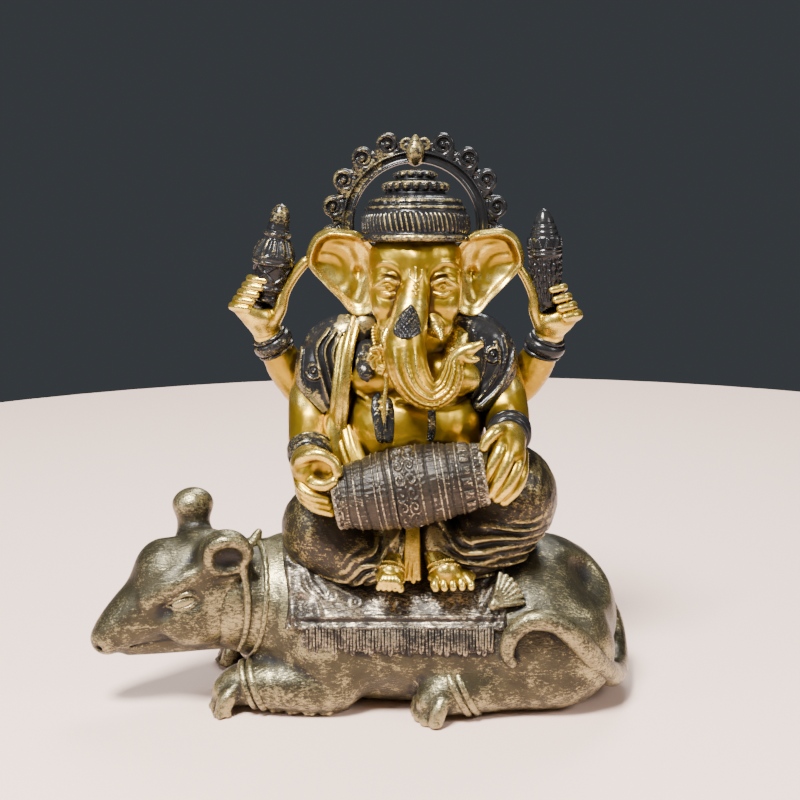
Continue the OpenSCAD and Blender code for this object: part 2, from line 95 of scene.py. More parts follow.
def turn_matrix(turn: Point) -> Array:
    """The matrix of turns about X, then Y, then Z, in degrees.

    Args:
        turn: the three angles.

    Returns:
        The matrix that turns columns.
    """
    a, b, c = np.radians(np.asarray(turn, float))
    about_x = np.array([[1, 0, 0], [0, math.cos(a), -math.sin(a)], [0, math.sin(a), math.cos(a)]])
    about_y = np.array([[math.cos(b), 0, math.sin(b)], [0, 1, 0], [-math.sin(b), 0, math.cos(b)]])
    about_z = np.array([[math.cos(c), -math.sin(c), 0], [math.sin(c), math.cos(c), 0], [0, 0, 1]])
    return about_z @ about_y @ about_x


def between_knots(knots: Sequence[Array], t: Array) -> Array:
    """Catmull-Rom: the curve between the middle two of four knots.

    Args:
        knots: four knots for each value of t.
        t: 0 at the second knot, 1 at the third.

    Returns:
        Places on the curve.
    """
    p0, p1, p2, p3 = knots
    square = (2 * p0 - 5 * p1 + 4 * p2 - p3) * t**2
    cube = (3 * p1 - p0 - 3 * p2 + p3) * t**3
    return 0.5 * (2 * p1 + (p2 - p0) * t + square + cube)


def spline(points: Sequence[Point], count: int) -> Array:
    """A smooth curve through the points: Catmull-Rom, evenly spaced in its parameter.

    Args:
        points: rows of any width, such as x, y, z and a radius.
        count: how many rows to return.

    Returns:
        count rows on the curve, the first and last being the given ends.
    """
    knots = np.asarray(points, float)
    ends = np.vstack([2 * knots[0] - knots[1], knots, 2 * knots[-1] - knots[-2]])
    place = np.linspace(0, len(knots) - 1, count)
    index = np.minimum(place.astype(int), len(knots) - 2)
    t = (place - index)[:, None]
    return between_knots([ends[index + i] for i in range(4)], t)


def loop_curve(values: Sequence[float], angle: Array) -> Array:
    """A closed smooth curve of one value round a full turn, through values spaced evenly in angle.

    Args:
        values: the ring of values.
        angle: where on the turn to read it, in radians.

    Returns:
        One value for each angle.
    """
    ring = np.asarray(values, float)
    count = len(ring)
    place = np.mod(angle / TAU * count, count)
    index = place.astype(int) % count
    t = place - place.astype(int)
    return between_knots([ring[(index + i) % count] for i in (-1, 0, 1, 2)], t)


def ripple(points: Array, size: float, seed: float = 0.0) -> Array:
    """Soft unevenness from -1 to 1: sums of sines of the place at three slanted directions.

    Args:
        points: places in millimetres.
        size: rough distance between swells, in millimetres.
        seed: shifts the pattern.

    Returns:
        A height for each place.
    """
    x, y, z = (points[..., i] * (TAU / size) for i in range(3))
    one = np.sin(x + 0.7 * y + seed) * np.cos(0.8 * z - 0.5 * x + 2 * seed)
    two = np.sin(1.9 * y - 1.3 * z + 3 * seed) * np.cos(1.7 * x + 0.9 * z - seed)
    return 0.6 * one + 0.4 * two


# ---------------------------------------------------------------- rounded masses and their blend


@dataclass(frozen=True)
class Egg:
    """A turned ellipsoid."""

    centre: Point
    radii: Point
    turn: Point = (0.0, 0.0, 0.0)

    def box(self) -> tuple[Array, Array]:
        """Corners that hold it at any turn."""
        centre = np.asarray(self.centre, float)
        return centre - max(self.radii), centre + max(self.radii)

    def __call__(self, points: Array) -> Array:
        """Near distance to the skin: k(k - 1) over the gradient's length, with k the scaled radius.

        Args:
            points: places in millimetres.

        Returns:
            Signed near distances.
        """
        local = (points - np.asarray(self.centre, float)) @ turn_matrix(self.turn)
        radii = np.asarray(self.radii, float)
        scaled = np.linalg.norm(local / radii, axis=-1)
        slope = np.linalg.norm(local / radii**2, axis=-1)
        return scaled * (scaled - 1.0) / np.maximum(slope, 1e-9)


@dataclass(frozen=True)
class Limb:
    """A round limb of changing radius along a smooth path; each row is x, y, z, radius."""

    rows: Sequence[Point]
    count: int = 0

    def line(self) -> Array:
        """The smooth path with its radii."""
        count = self.count or 4 * (len(self.rows) - 1) + 1
        return spline(self.rows, count) if len(self.rows) > 2 else np.asarray(self.rows, float)

    def box(self) -> tuple[Array, Array]:
        """Corners that hold it."""
        rows = self.line()
        return (rows[:, :3] - rows[:, 3:]).min(0), (rows[:, :3] + rows[:, 3:]).max(0)

    def __call__(self, points: Array) -> Array:
        """Distance to the nearest of the short cones that make the limb.

        Args:
            points: places in millimetres.

        Returns:
            Signed distances.
        """
        rows = self.line()
        best = np.full(points.shape[:-1], np.inf)
        for start, end in zip(rows[:-1], rows[1:]):
            step = end[:3] - start[:3]
            share = np.clip(((points - start[:3]) @ step) / max(step @ step, 1e-12), 0, 1)
            away = np.linalg.norm(points - start[:3] - share[..., None] * step, axis=-1)
            best = np.minimum(best, away - start[3] - share * (end[3] - start[3]))
        return best


@dataclass(frozen=True)
class Slab:
    """The half of space below a plane: negative where (p - at) . normal is negative."""

    at: Point
    normal: Point

    def __call__(self, points: Array) -> Array:
        """Signed distance to the plane."""
        return (points - np.asarray(self.at, float)) @ unit(np.asarray(self.normal, float))


def blend(a: Array, b: Array, k: float) -> Array:
    """The nearer of two distances, with a fillet of about k where they meet.

    Args:
        a: first distance.
        b: second distance.
        k: the fillet.

    Returns:
        The blended distance.
    """
    if k <= 0:
        return np.minimum(a, b)
    share = np.clip(0.5 + 0.5 * (b - a) / k, 0.0, 1.0)
    return b + (a - b) * share - k * share * (1.0 - share)


@dataclass
class Clay:
    """Rounded masses added and carved in order, as a modeller works."""

    moves: list[tuple[Shape, float, bool]] = field(default_factory=list)
    margin: float = 4.0

    def add(self, shape: Shape, k: float = 0.5) -> "Clay":
        """Presses on a mass with a fillet of k."""
        self.moves.append((shape, k, True))
        return self

    def carve(self, shape: Shape, k: float = 0.3) -> "Clay":
        """Takes away a mass, rounding the edge by k."""
        self.moves.append((shape, k, False))
        return self

    def __call__(self, points: Array) -> Array:
        """Signed near distance of the whole lump; a mass is measured only where it is near.

        Args:
            points: places in millimetres.

        Returns:
            Signed near distances.
        """
        total = np.full(points.shape[:-1], 1e3)
        for shape, k, adds in self.moves:
            low, high = shape.box() if hasattr(shape, "box") else (-np.inf, np.inf)
            reach = self.margin + k
            near = np.all((points > low - reach) & (points < high + reach), axis=-1)
            here = total[near]
            other = shape(points[near])
            total[near] = blend(here, other, k) if adds else -blend(-here, other, k)
        return total


def slope_of(shape: Shape, points: Array, step: float = 0.02) -> Array:
    """The outward normal of a shape's distance, by central differences.

    Args:
        shape: signed distance.
        points: places in millimetres.
        step: half the distance between the samples.

    Returns:
        Unit vectors.
    """
    out = np.empty_like(points)
    for axis in range(3):
        shift = np.zeros(3)
        shift[axis] = step
        out[:, axis] = shape(points + shift) - shape(points - shift)
    return unit(out)


def net(shape: Shape, low: Point, high: Point, step: float) -> Surface:
    """Closes a shape with quads by surface nets.

    Space is cut into cells of size step. A cell whose corners aren't all on one side of the skin gets
    one vertex, at the mean of the places where its edges cross the skin, and each crossed edge gets a
    quad between the four cells round it. Last, each vertex slides along the slope onto the skin. Blocks
    of cells that are far from the skin are never measured in full.

    Args:
        shape: signed distance, negative inside.
        low: lowest corner of the space searched, in millimetres.
        high: highest corner.
        step: cell size in millimetres.

    Returns:
        Vertices, and quads that face outwards.
    """
    block = 4
    low_c = np.asarray(low, float) - 2 * step
    blocks = np.ceil((np.asarray(high, float) + 2 * step - low_c) / (block * step)).astype(int)
    coarse_axes = [low_c[i] + (np.arange(blocks[i]) + 0.5) * block * step - 0.5 * step for i in range(3)]
    coarse = np.stack(np.meshgrid(*coarse_axes, indexing="ij"), -1)
    rough = shape(coarse.reshape(-1, 3)).reshape(blocks)
    near = np.abs(rough) < block * step * 1.6
    values = rough.repeat(block, 0).repeat(block, 1).repeat(block, 2)
    fine_near = near.repeat(block, 0).repeat(block, 1).repeat(block, 2)
    at = np.argwhere(fine_near)
    values[fine_near] = shape(low_c + at * step)

    inside = values < 0
    cells = tuple(n - 1 for n in values.shape)
    total, hits = np.zeros((*cells, 3)), np.zeros(cells)
    crossings = []
    for axis in range(3):
        first = tuple(slice(0, -1) if i == axis else slice(None) for i in range(3))
        second = tuple(slice(1, None) if i == axis else slice(None) for i in range(3))
        crossed = inside[first] != inside[second]
        index = np.argwhere(crossed)
        v0, v1 = values[first][crossed], values[second][crossed]
        place = index.astype(float)
        place[:, axis] += v0 / (v0 - v1)
        others = [i for i in range(3) if i != axis]
        keep = np.all((index[:, others] > 0) & (index[:, others] < np.array(cells)[others]), axis=1)
        index, place = index[keep], place[keep]
        flips = inside[first][crossed][keep]
        corners = []
        for da, db in ((1, 1), (0, 1), (0, 0), (1, 0)):
            cell = index.copy()
            cell[:, others[0]] -= da
            cell[:, others[1]] -= db
            flat = np.ravel_multi_index(cell.T, cells)
            corners.append(flat)
            np.add.at(hits.reshape(-1), flat, 1.0)
            np.add.at(total.reshape(-1, 3), flat, place)
        quad = np.stack(corners, 1)
        swap = flips if axis != 1 else ~flips
        quad[~swap] = quad[~swap][:, ::-1]
        crossings.append(quad)
    used = hits.reshape(-1) > 0
    number = np.cumsum(used) - 1
    vertices = low_c + total.reshape(-1, 3)[used] / hits.reshape(-1)[used][:, None] * step
    faces = number[np.vstack(crossings)]
    for _ in range(2):
        away = shape(vertices)
        vertices -= np.clip(away, -step, step)[:, None] * slope_of(shape, vertices)
    return vertices, faces


# ---------------------------------------------------------------- surfaces of two parameters


def closed_grid(points: Array) -> Surface:
    """Faces for a grid whose columns close on themselves and whose first and last rows are poles.

    Args:
        points: rows by columns by 3.

    Returns:
        Vertices with one vertex at each pole, and faces as quads; a pole's triangle repeats its last
        corner and is mended when the mesh is made.
    """
    rows, columns = points.shape[:2]
    body = points[1:-1].reshape(-1, 3)
    vertices = np.vstack([points[0].mean(0), body, points[-1].mean(0)])
    column = np.arange(columns)
    after = (column + 1) % columns
    quads = []
    for row in range(rows - 3):
        a, b = 1 + row * columns, 1 + (row + 1) * columns
        quads.append(np.stack([a + column, a + after, b + after, b + column], 1))
    last = 1 + (rows - 3) * columns
    cap_a = np.stack([np.zeros(columns, int), 1 + after, 1 + column, 1 + column], 1)
    tip = np.full(columns, len(vertices) - 1)
    cap_b = np.stack([tip, last + column, last + after, last + after], 1)
    return vertices, np.vstack([*quads, cap_a, cap_b])


def frames_along(path: Array) -> tuple[Array, Array, Array]:
    """The direction of a path at each point, with two directions square to it that don't twist.

    Args:
        path: points of the path.

    Returns:
        Unit vectors ahead, sideways and up at each point.
    """
    ahead = unit(np.gradient(path, axis=0))
    side = np.empty_like(ahead)
    start = np.cross(ahead[0], [0.0, 0.0, 1.0])
    if np.linalg.norm(start) < 0.2:
        start = np.cross(ahead[0], [0.0, 1.0, 0.0])
    side[0] = unit(start)
    for i in range(1, len(path)):
        side[i] = unit(side[i - 1] - ahead[i] * (side[i - 1] @ ahead[i]))
    return ahead, side, np.cross(ahead, side)


def tube(
    path: Array,
    radius: Array,
    around: int = 20,
    relief: Optional[Relief] = None,
    flat: float = 1.0,
) -> Surface:
    """A round bar of changing radius along a path, with domed ends.

    A point lies at path(u) + radius(u) (cos v side + flat sin v up) + relief(u, v).

    Args:
        path: points of the middle line.
        radius: radius at each point.
        around: columns round the bar.
        relief: height added along the radius, from the share of length and the angle.
        flat: share by which the second radius is smaller.

    Returns:
        Vertices and faces, closed at both ends.
    """
    path = np.asarray(path, float)
    radius = np.broadcast_to(np.asarray(radius, float), (len(path),))
    ahead, side, up = frames_along(path)
    dome = np.array([0.98, 0.8, 0.5, 0.2])
    back = [path[0] - ahead[0] * radius[0] * flat * s for s in dome]
    front = [path[-1] + ahead[-1] * radius[-1] * flat * s for s in dome[::-1]]
    line = np.vstack([back, path, front])
    shrink = np.sqrt(1 - dome**2)
    size = np.concatenate([radius[0] * shrink, radius, radius[-1] * shrink[::-1]])
    sides = np.vstack([np.repeat(side[:1], 4, 0), side, np.repeat(side[-1:], 4, 0)])
    ups = np.vstack([np.repeat(up[:1], 4, 0), up, np.repeat(up[-1:], 4, 0)])
    angle = np.arange(around) * TAU / around
    share = np.linspace(0, 1, len(line))
    reach = size[:, None] * np.ones(around)
    if relief is not None:
        height = relief(share[:, None], angle[None, :])
        reach = reach + height * (size[:, None] / np.maximum(radius.max(), 1e-9))
    turn = np.cos(angle)[None, :, None] * sides[:, None] + flat * np.sin(angle)[None, :, None] * ups[:, None]
    points = line[:, None] + reach[..., None] * turn
    return closed_grid(np.concatenate([np.repeat(line[:1, None], around, 1), points,
                                       np.repeat(line[-1:, None], around, 1)]))


def hoop(
    centre: Point, normal: Point, radius: float, half_width: float, half_height: float, segments: int = 64,
    relief: Optional[Relief] = None, shape: Optional[Shape] = None,
) -> Surface:
    """A closed ring with an oval section, turned to face along normal.

    Args:
        centre: middle of the ring.
        normal: axis of the ring.
        radius: to the middle of the section.
        half_width: half the section's size along the axis.
        half_height: half its size along the radius.
        segments: columns round the ring.
        relief: height added to the section, from the ring angle and the section angle.
        shape: where given, the ring's radius follows this skin in each direction instead.

    Returns:
        Vertices and quads of a torus.
    """
    axis = unit(np.asarray(normal, float))
    side = unit(np.cross(axis, [0.0, 0.0, 1.0]) if abs(axis[2]) < 0.9 else np.cross(axis, [0.0, 1.0, 0.0]))
    up = np.cross(axis, side)
    around, section = 14, segments
    angle = np.arange(section) * TAU / section
    phase = np.arange(around) * TAU / around
    out = np.cos(angle)[:, None] * side + np.sin(angle)[:, None] * up
    base = np.asarray(centre, float)
    reach = np.full(section, float(radius))
    if shape is not None:
        reach = ray_length(shape, base, out, radius * 2.5)
        reach = smooth_loop(reach, 3)
    lift = 1.0 if relief is None else 1.0 + relief(angle[:, None], phase[None, :])
    distance = reach[:, None] + half_height * np.cos(phase)[None, :] * lift
    height = half_width * np.sin(phase)[None, :] * lift * np.ones((section, 1))
    points = base + distance[..., None] * out[:, None] + height[..., None] * axis
    i, j = np.meshgrid(np.arange(section), np.arange(around), indexing="ij")
    k, m = (i + 1) % section, (j + 1) % around
    quads = np.stack([i * around + j, i * around + m, k * around + m, k * around + j], -1).reshape(-1, 4)
    return points.reshape(-1, 3), quads[:, ::-1]


def smooth_loop(values: Array, times: int) -> Array:
    """Values round a closed loop, each averaged with its neighbours a few times.

    Args:
        values: the values in order.
        times: how many rounds of averaging.

    Returns:
        As many values, smoother.
    """
    for _ in range(times):
        values = 0.5 * values + 0.25 * (np.roll(values, 1) + np.roll(values, -1))
    return values


def ray_length(shape: Shape, start: Array, direction: Array, reach: float) -> Array:
    """How far each ray runs from inside a shape to its skin, by halving the interval.

    Args:
        shape: signed distance.
        start: where the rays start, one point or one for each ray.
        direction: unit directions.
        reach: a length that is surely outside.

    Returns:
        One length for each ray.
    """
    low = np.zeros(len(direction))
    high = np.full(len(direction), float(reach))
    for _ in range(16):
        middle = 0.5 * (low + high)
        within = shape(start + direction * middle[:, None]) < 0
        low, high = np.where(within, middle, low), np.where(within, high, middle)
    return 0.5 * (low + high)


def turned_profile(
    profile: Array, columns: int, relief: Optional[Relief] = None
) -> Surface:
    """A profile spun about Z: x = (r + relief) cos a, y = (r + relief) sin a, z = h.

    Args:
        profile: rows of radius and height, from the bottom pole to the top pole.
        columns: how many steps round.
        relief: height added to the radius, from the height and the angle.

    Returns:
        Vertices and faces, closed at both poles.
    """
    angle = np.arange(columns) * TAU / columns
    radius = profile[:, :1] * np.ones(columns)
    if relief is not None:
        radius = radius + relief(profile[:, 1:2], angle[None, :]) * ease(profile[:, :1], 0.0, 0.4)
    x, y = radius * np.cos(angle), radius * np.sin(angle)
    z = profile[:, 1:2] * np.ones(columns)
    return closed_grid(np.stack([x, y, z], -1))


def fine_profile(corners: Sequence[Point], step: float = 0.12, soften: int = 2) -> Array:
    """A profile cut into short even steps, its corners eased by averaging with neighbours.

    Args:
        corners: rows of radius and height.
        step: length of the short steps.
        soften: rounds of averaging.

    Returns:
        Many rows of radius and height.
    """
    corner = np.asarray(corners, float)
    length = np.concatenate([[0], np.cumsum(np.linalg.norm(np.diff(corner, axis=0), axis=1))])
    count = max(int(length[-1] / step), 8)
    place = np.linspace(0, length[-1], count)
    rows = np.stack([np.interp(place, length, corner[:, i]) for i in range(2)], 1)
    for _ in range(soften):
        rows[1:-1] = 0.5 * rows[1:-1] + 0.25 * (rows[:-2] + rows[2:])
    return rows


def placed(surface: Surface, origin: Point, axis: Point) -> Surface:
    """A surface turned so that Z runs along axis, then moved to origin.

    Args:
        surface: vertices and faces.
        origin: where its own zero goes.
        axis: where its own Z points.

    Returns:
        The surface in its new place.
    """
    ahead = unit(np.asarray(axis, float))
    side = unit(np.cross([0.0, 1.0, 0.0], ahead))
    up = np.cross(ahead, side)
    return np.asarray(origin, float) + surface[0] @ np.stack([side, up, ahead]), surface[1]


def moved(surface: Surface, shift: Array) -> Surface:
    """A surface shifted as a whole."""
    return surface[0] + shift, surface[1]


def flip(faces: Array) -> Array:
    """Quads and padded triangles turned over, with a triangle's repeated corner kept last.

    Args:
        faces: corner numbers, four to a row.

    Returns:
        The faces seen from the other side.
    """
    turned = faces[:, [0, 3, 2, 1]].copy()
    three = faces[:, 2] == faces[:, 3]
    turned[three] = faces[three][:, [0, 2, 1, 1]]
    return turned


def outward(surface: Surface) -> Surface:
    """The surface with its faces turned over if they close a negative volume.

    Args:
        surface: a closed surface.

    Returns:
        The surface with outward faces.
    """
    vertices, faces = surface
    a, b, c, d = (vertices[faces[:, i]] for i in range(4))
    volume = np.einsum("ij,ij->", a, np.cross(b, c)) + np.einsum("ij,ij->", a, np.cross(c, d))
    return vertices, faces if volume > 0 else flip(faces)


def joined(parts: Sequence[Surface]) -> Surface:
    """Several closed surfaces as one set of vertices and faces.

    Args:
        parts: the surfaces.

    Returns:
        One surface.
    """
    vertices, faces, count = [], [], 0
    for v, f in parts:
        vertices.append(v)
        faces.append(f + count)
        count += len(v)
    return np.vstack(vertices), np.vstack(faces)


# ---------------------------------------------------------------- finishes


class Slot(Enum):
    """The record's material slots."""

    GOLD = "gold_paint"
    BLACK = "black_gold"
    SILVER = "silver_gold"
    BRONZE = "antique_bronze"


Colour = tuple[float, float, float]


class Nodes:
    """A short hand for wiring one node tree."""

    def __init__(self, tree: bpy.types.NodeTree) -> None:
        """Takes an empty or existing node tree."""
        self.tree = tree

    def new(self, kind: str, **settings: object) -> bpy.types.Node:
        """Adds a node and sets its properties.

        Args:
            kind: the node type.
            settings: property names and values.

        Returns:
            The new node.
        """
        node = self.tree.nodes.new(kind)
        for key, value in settings.items():
            setattr(node, key, value)
        return node

    def feed(self, socket: bpy.types.NodeSocket, value: object) -> None:
        """Links a socket into an input, or sets the input's own value.

        Args:
            socket: the input.
            value: a socket, a colour or a number.
        """
        if isinstance(value, bpy.types.NodeSocket):
            self.tree.links.new(value, socket)
        elif isinstance(value, tuple) and len(value) == 3 and socket.type == "RGBA":
            socket.default_value = (*value, 1.0)
        else:
            socket.default_value = value

    def math(self, operation: str, *values: object, clamp: bool = False) -> bpy.types.NodeSocket:
        """One Math node.

        Args:
            operation: what the node works out.
            values: what goes into it, in order.
            clamp: whether the result is kept from 0 to 1.

        Returns:
            The result.
        """
        node = self.new("ShaderNodeMath", operation=operation, use_clamp=clamp)
        for socket, value in zip(node.inputs, values):
            self.feed(socket, value)
        return node.outputs[0]

    def mix(self, share: object, first: object, second: object) -> bpy.types.NodeSocket:
        """Mixes two colours.

        Args:
            share: how much of the second.
            first: a colour.
            second: another colour.

        Returns:
            The mixed colour.
        """
        node = self.new("ShaderNodeMix", data_type="RGBA")
        self.feed(node.inputs["Factor"], share)
        self.feed(node.inputs[6], first)
        self.feed(node.inputs[7], second)
        return node.outputs[2]

    def between(self, share: object, first: object, second: object) -> bpy.types.NodeSocket:
        """Mixes two numbers.

        Args:
            share: how much of the second.
            first: a number.
            second: another number.

        Returns:
            The mixed number.
        """
        node = self.new("ShaderNodeMix", data_type="FLOAT")
        for socket, value in zip((node.inputs[0], node.inputs[2], node.inputs[3]), (share, first, second)):
            self.feed(socket, value)
        return node.outputs[0]

    def step(self, value: object, low: float, high: float) -> bpy.types.NodeSocket:
        """A smooth step from 0 at low to 1 at high.

        Args:
            value: what is measured.
            low: where the step starts.
            high: where it ends.

        Returns:
            The share.
        """
        node = self.new("ShaderNodeMapRange", interpolation_type="SMOOTHSTEP")
        for socket, item in zip(node.inputs[:3], (value, low, high)):
            self.feed(socket, item)
        return node.outputs[0]

    def noise(self, place: object, scale: object, detail: float = 3.0,
              rough: float = 0.55) -> bpy.types.NodeSocket:
        """Fractal noise from 0 to 1.

        Args:
            place: where it is measured.
            scale: swells to the metre.
            detail: how many finer layers.
            rough: how strong the finer layers are.

        Returns:
            The noise.
        """
        node = self.new("ShaderNodeTexNoise")
        self.feed(node.inputs["Vector"], place)
        self.feed(node.inputs["Scale"], scale)
        self.feed(node.inputs["Detail"], detail)
        self.feed(node.inputs["Roughness"], rough)
        return node.outputs[0]


def new_group(name: str, inputs: dict[str, tuple[str, object]],
              outputs: dict[str, str]) -> tuple[Nodes, dict, dict]:
    """Starts a shader node group.

    Args:
        name: the group's name.
        inputs: socket name to its type and default, None for a linked vector.
        outputs: socket name to its type.

    Returns:
        The wiring helper, the inner sockets by input name, and the sockets to feed by output name.
    """
    tree = bpy.data.node_groups.new(name, "ShaderNodeTree")
    for key, (kind, value) in inputs.items():
        socket = tree.interface.new_socket(key, in_out="INPUT", socket_type=kind)
        if value is not None:
            socket.default_value = value
    for key, kind in outputs.items():
        tree.interface.new_socket(key, in_out="OUTPUT", socket_type=kind)
    nodes = Nodes(tree)
    entry, leave = nodes.new("NodeGroupInput"), nodes.new("NodeGroupOutput")
    return nodes, {key: entry.outputs[key] for key in inputs}, {key: leave.inputs[key] for key in outputs}


NUMBER, VECTOR = "NodeSocketFloat", "NodeSocketVector"


class Effects:
    """Shader groups that every finish shares: dark wash that is also painted shade in hollows, dry brush
    that is also a painted highlight on high places, and the cast's fine grain.
    """

    def __init__(self) -> None:
        """Builds the three groups once."""
        self.wash_and_shade = self._wash_and_shade()
        self.brush = self._brush_and_highlight()
        self.grain = self._grain()

    @staticmethod
    def _wash_and_shade() -> bpy.types.NodeTree:
        """Thin dark paint that stays in hollows, which also stands as painted shade in creases and where
        pieces meet: hollow times strength, broken up by noise.

        Returns:
            The group's tree.
        """
        nodes, given, out = new_group(
            "hollow_wash_and_shade",
            {"Place": (VECTOR, None), "Hollow": (NUMBER, 0.0), "Strength": (NUMBER, 1.0),
             "Patch": (NUMBER, 0.3)},
            {"Mask": NUMBER},
        )
        blotch = nodes.math("SUBTRACT", nodes.noise(given["Place"], 700.0), 0.5)
        fine = nodes.math("SUBTRACT", nodes.noise(given["Place"], 3200.0), 0.5)
        uneven = nodes.math("MULTIPLY", nodes.math("ADD", blotch, fine), given["Patch"])
        level = nodes.math("ADD", nodes.math("MULTIPLY", given["Hollow"], given["Strength"]), uneven)
        nodes.feed(out["Mask"], nodes.step(level, 0.22, 1.0))
        return nodes.tree

    @staticmethod
    def _brush_and_highlight() -> bpy.types.NodeTree:
        """Metal paint dragged over high places, which also stands as a painted highlight on ridges: ridge,
        streaks and extra cover, past a limit.

        Returns:
            The group's tree.
        """
        nodes, given, out = new_group(
            "dry_brush_and_highlight",
            {
                "Place": (VECTOR, None),
                "Ridge": (NUMBER, 0.0),
                "Extra": (NUMBER, 0.0),
                "Gain": (NUMBER, 1.0),
                "Streak": (NUMBER, 1.0),
                "Limit": (NUMBER, 0.5),
                "Soft": (NUMBER, 0.2),
            },
            {"Mask": NUMBER},
        )
        turn = nodes.new("ShaderNodeMapping")
        nodes.feed(turn.inputs["Vector"], given["Place"])
        turn.inputs["Rotation"].default_value = (0.3, 0.6, 0.2)
        turn.inputs["Scale"].default_value = (0.34, 1.0, 0.8)
        long_streak = nodes.noise(turn.outputs[0], 4300.0, 5.0, 0.7)
        speck = nodes.noise(given["Place"], 6500.0, 2.0, 0.7)
        patch = nodes.noise(given["Place"], 420.0, 3.0, 0.6)
        rough = nodes.math("ADD", nodes.math("MULTIPLY", long_streak, 0.8),
                           nodes.math("MULTIPLY", speck, 0.35))
        rough = nodes.math("SUBTRACT", nodes.math("ADD", rough, nodes.math("MULTIPLY", patch, 0.45)), 0.8)
        level = nodes.math("MULTIPLY", rough, given["Streak"])
        level = nodes.math("ADD", level, nodes.math("MULTIPLY", given["Ridge"], given["Gain"]))
        level = nodes.math("ADD", level, given["Extra"])
        high = nodes.math("ADD", given["Limit"], given["Soft"])
        span = nodes.new("ShaderNodeMapRange", interpolation_type="SMOOTHSTEP")
        for socket, item in zip(span.inputs[:3], (level, given["Limit"], high)):
            nodes.feed(socket, item)
        nodes.feed(out["Mask"], span.outputs[0])
        return nodes.tree

    @staticmethod
    def _grain() -> bpy.types.NodeTree:
        """Height of brush marks, paint grain and soft casting waves.

        Returns:
            The group's tree.
        """
        nodes, given, out = new_group(
            "cast_grain",
            {"Place": (VECTOR, None), "Paint": (NUMBER, 0.5), "Wave": (NUMBER, 0.5),
             "Marks": (NUMBER, 0.0)},
            {"Height": NUMBER},
        )
        fine = nodes.math("MULTIPLY", nodes.noise(given["Place"], 6000.0, 2.0), given["Paint"])
        wave = nodes.math("MULTIPLY", nodes.noise(given["Place"], 650.0, 2.0), given["Wave"])
        turn = nodes.new("ShaderNodeMapping")
        nodes.feed(turn.inputs["Vector"], given["Place"])
        turn.inputs["Rotation"].default_value = (0.2, 0.9, 0.1)
        turn.inputs["Scale"].default_value = (0.34, 1.0, 0.8)
        marks = nodes.math("MULTIPLY", nodes.noise(turn.outputs[0], 4200.0, 3.0), given["Marks"])
        nodes.feed(out["Height"], nodes.math("ADD", nodes.math("ADD", fine, wave), marks))
        return nodes.tree


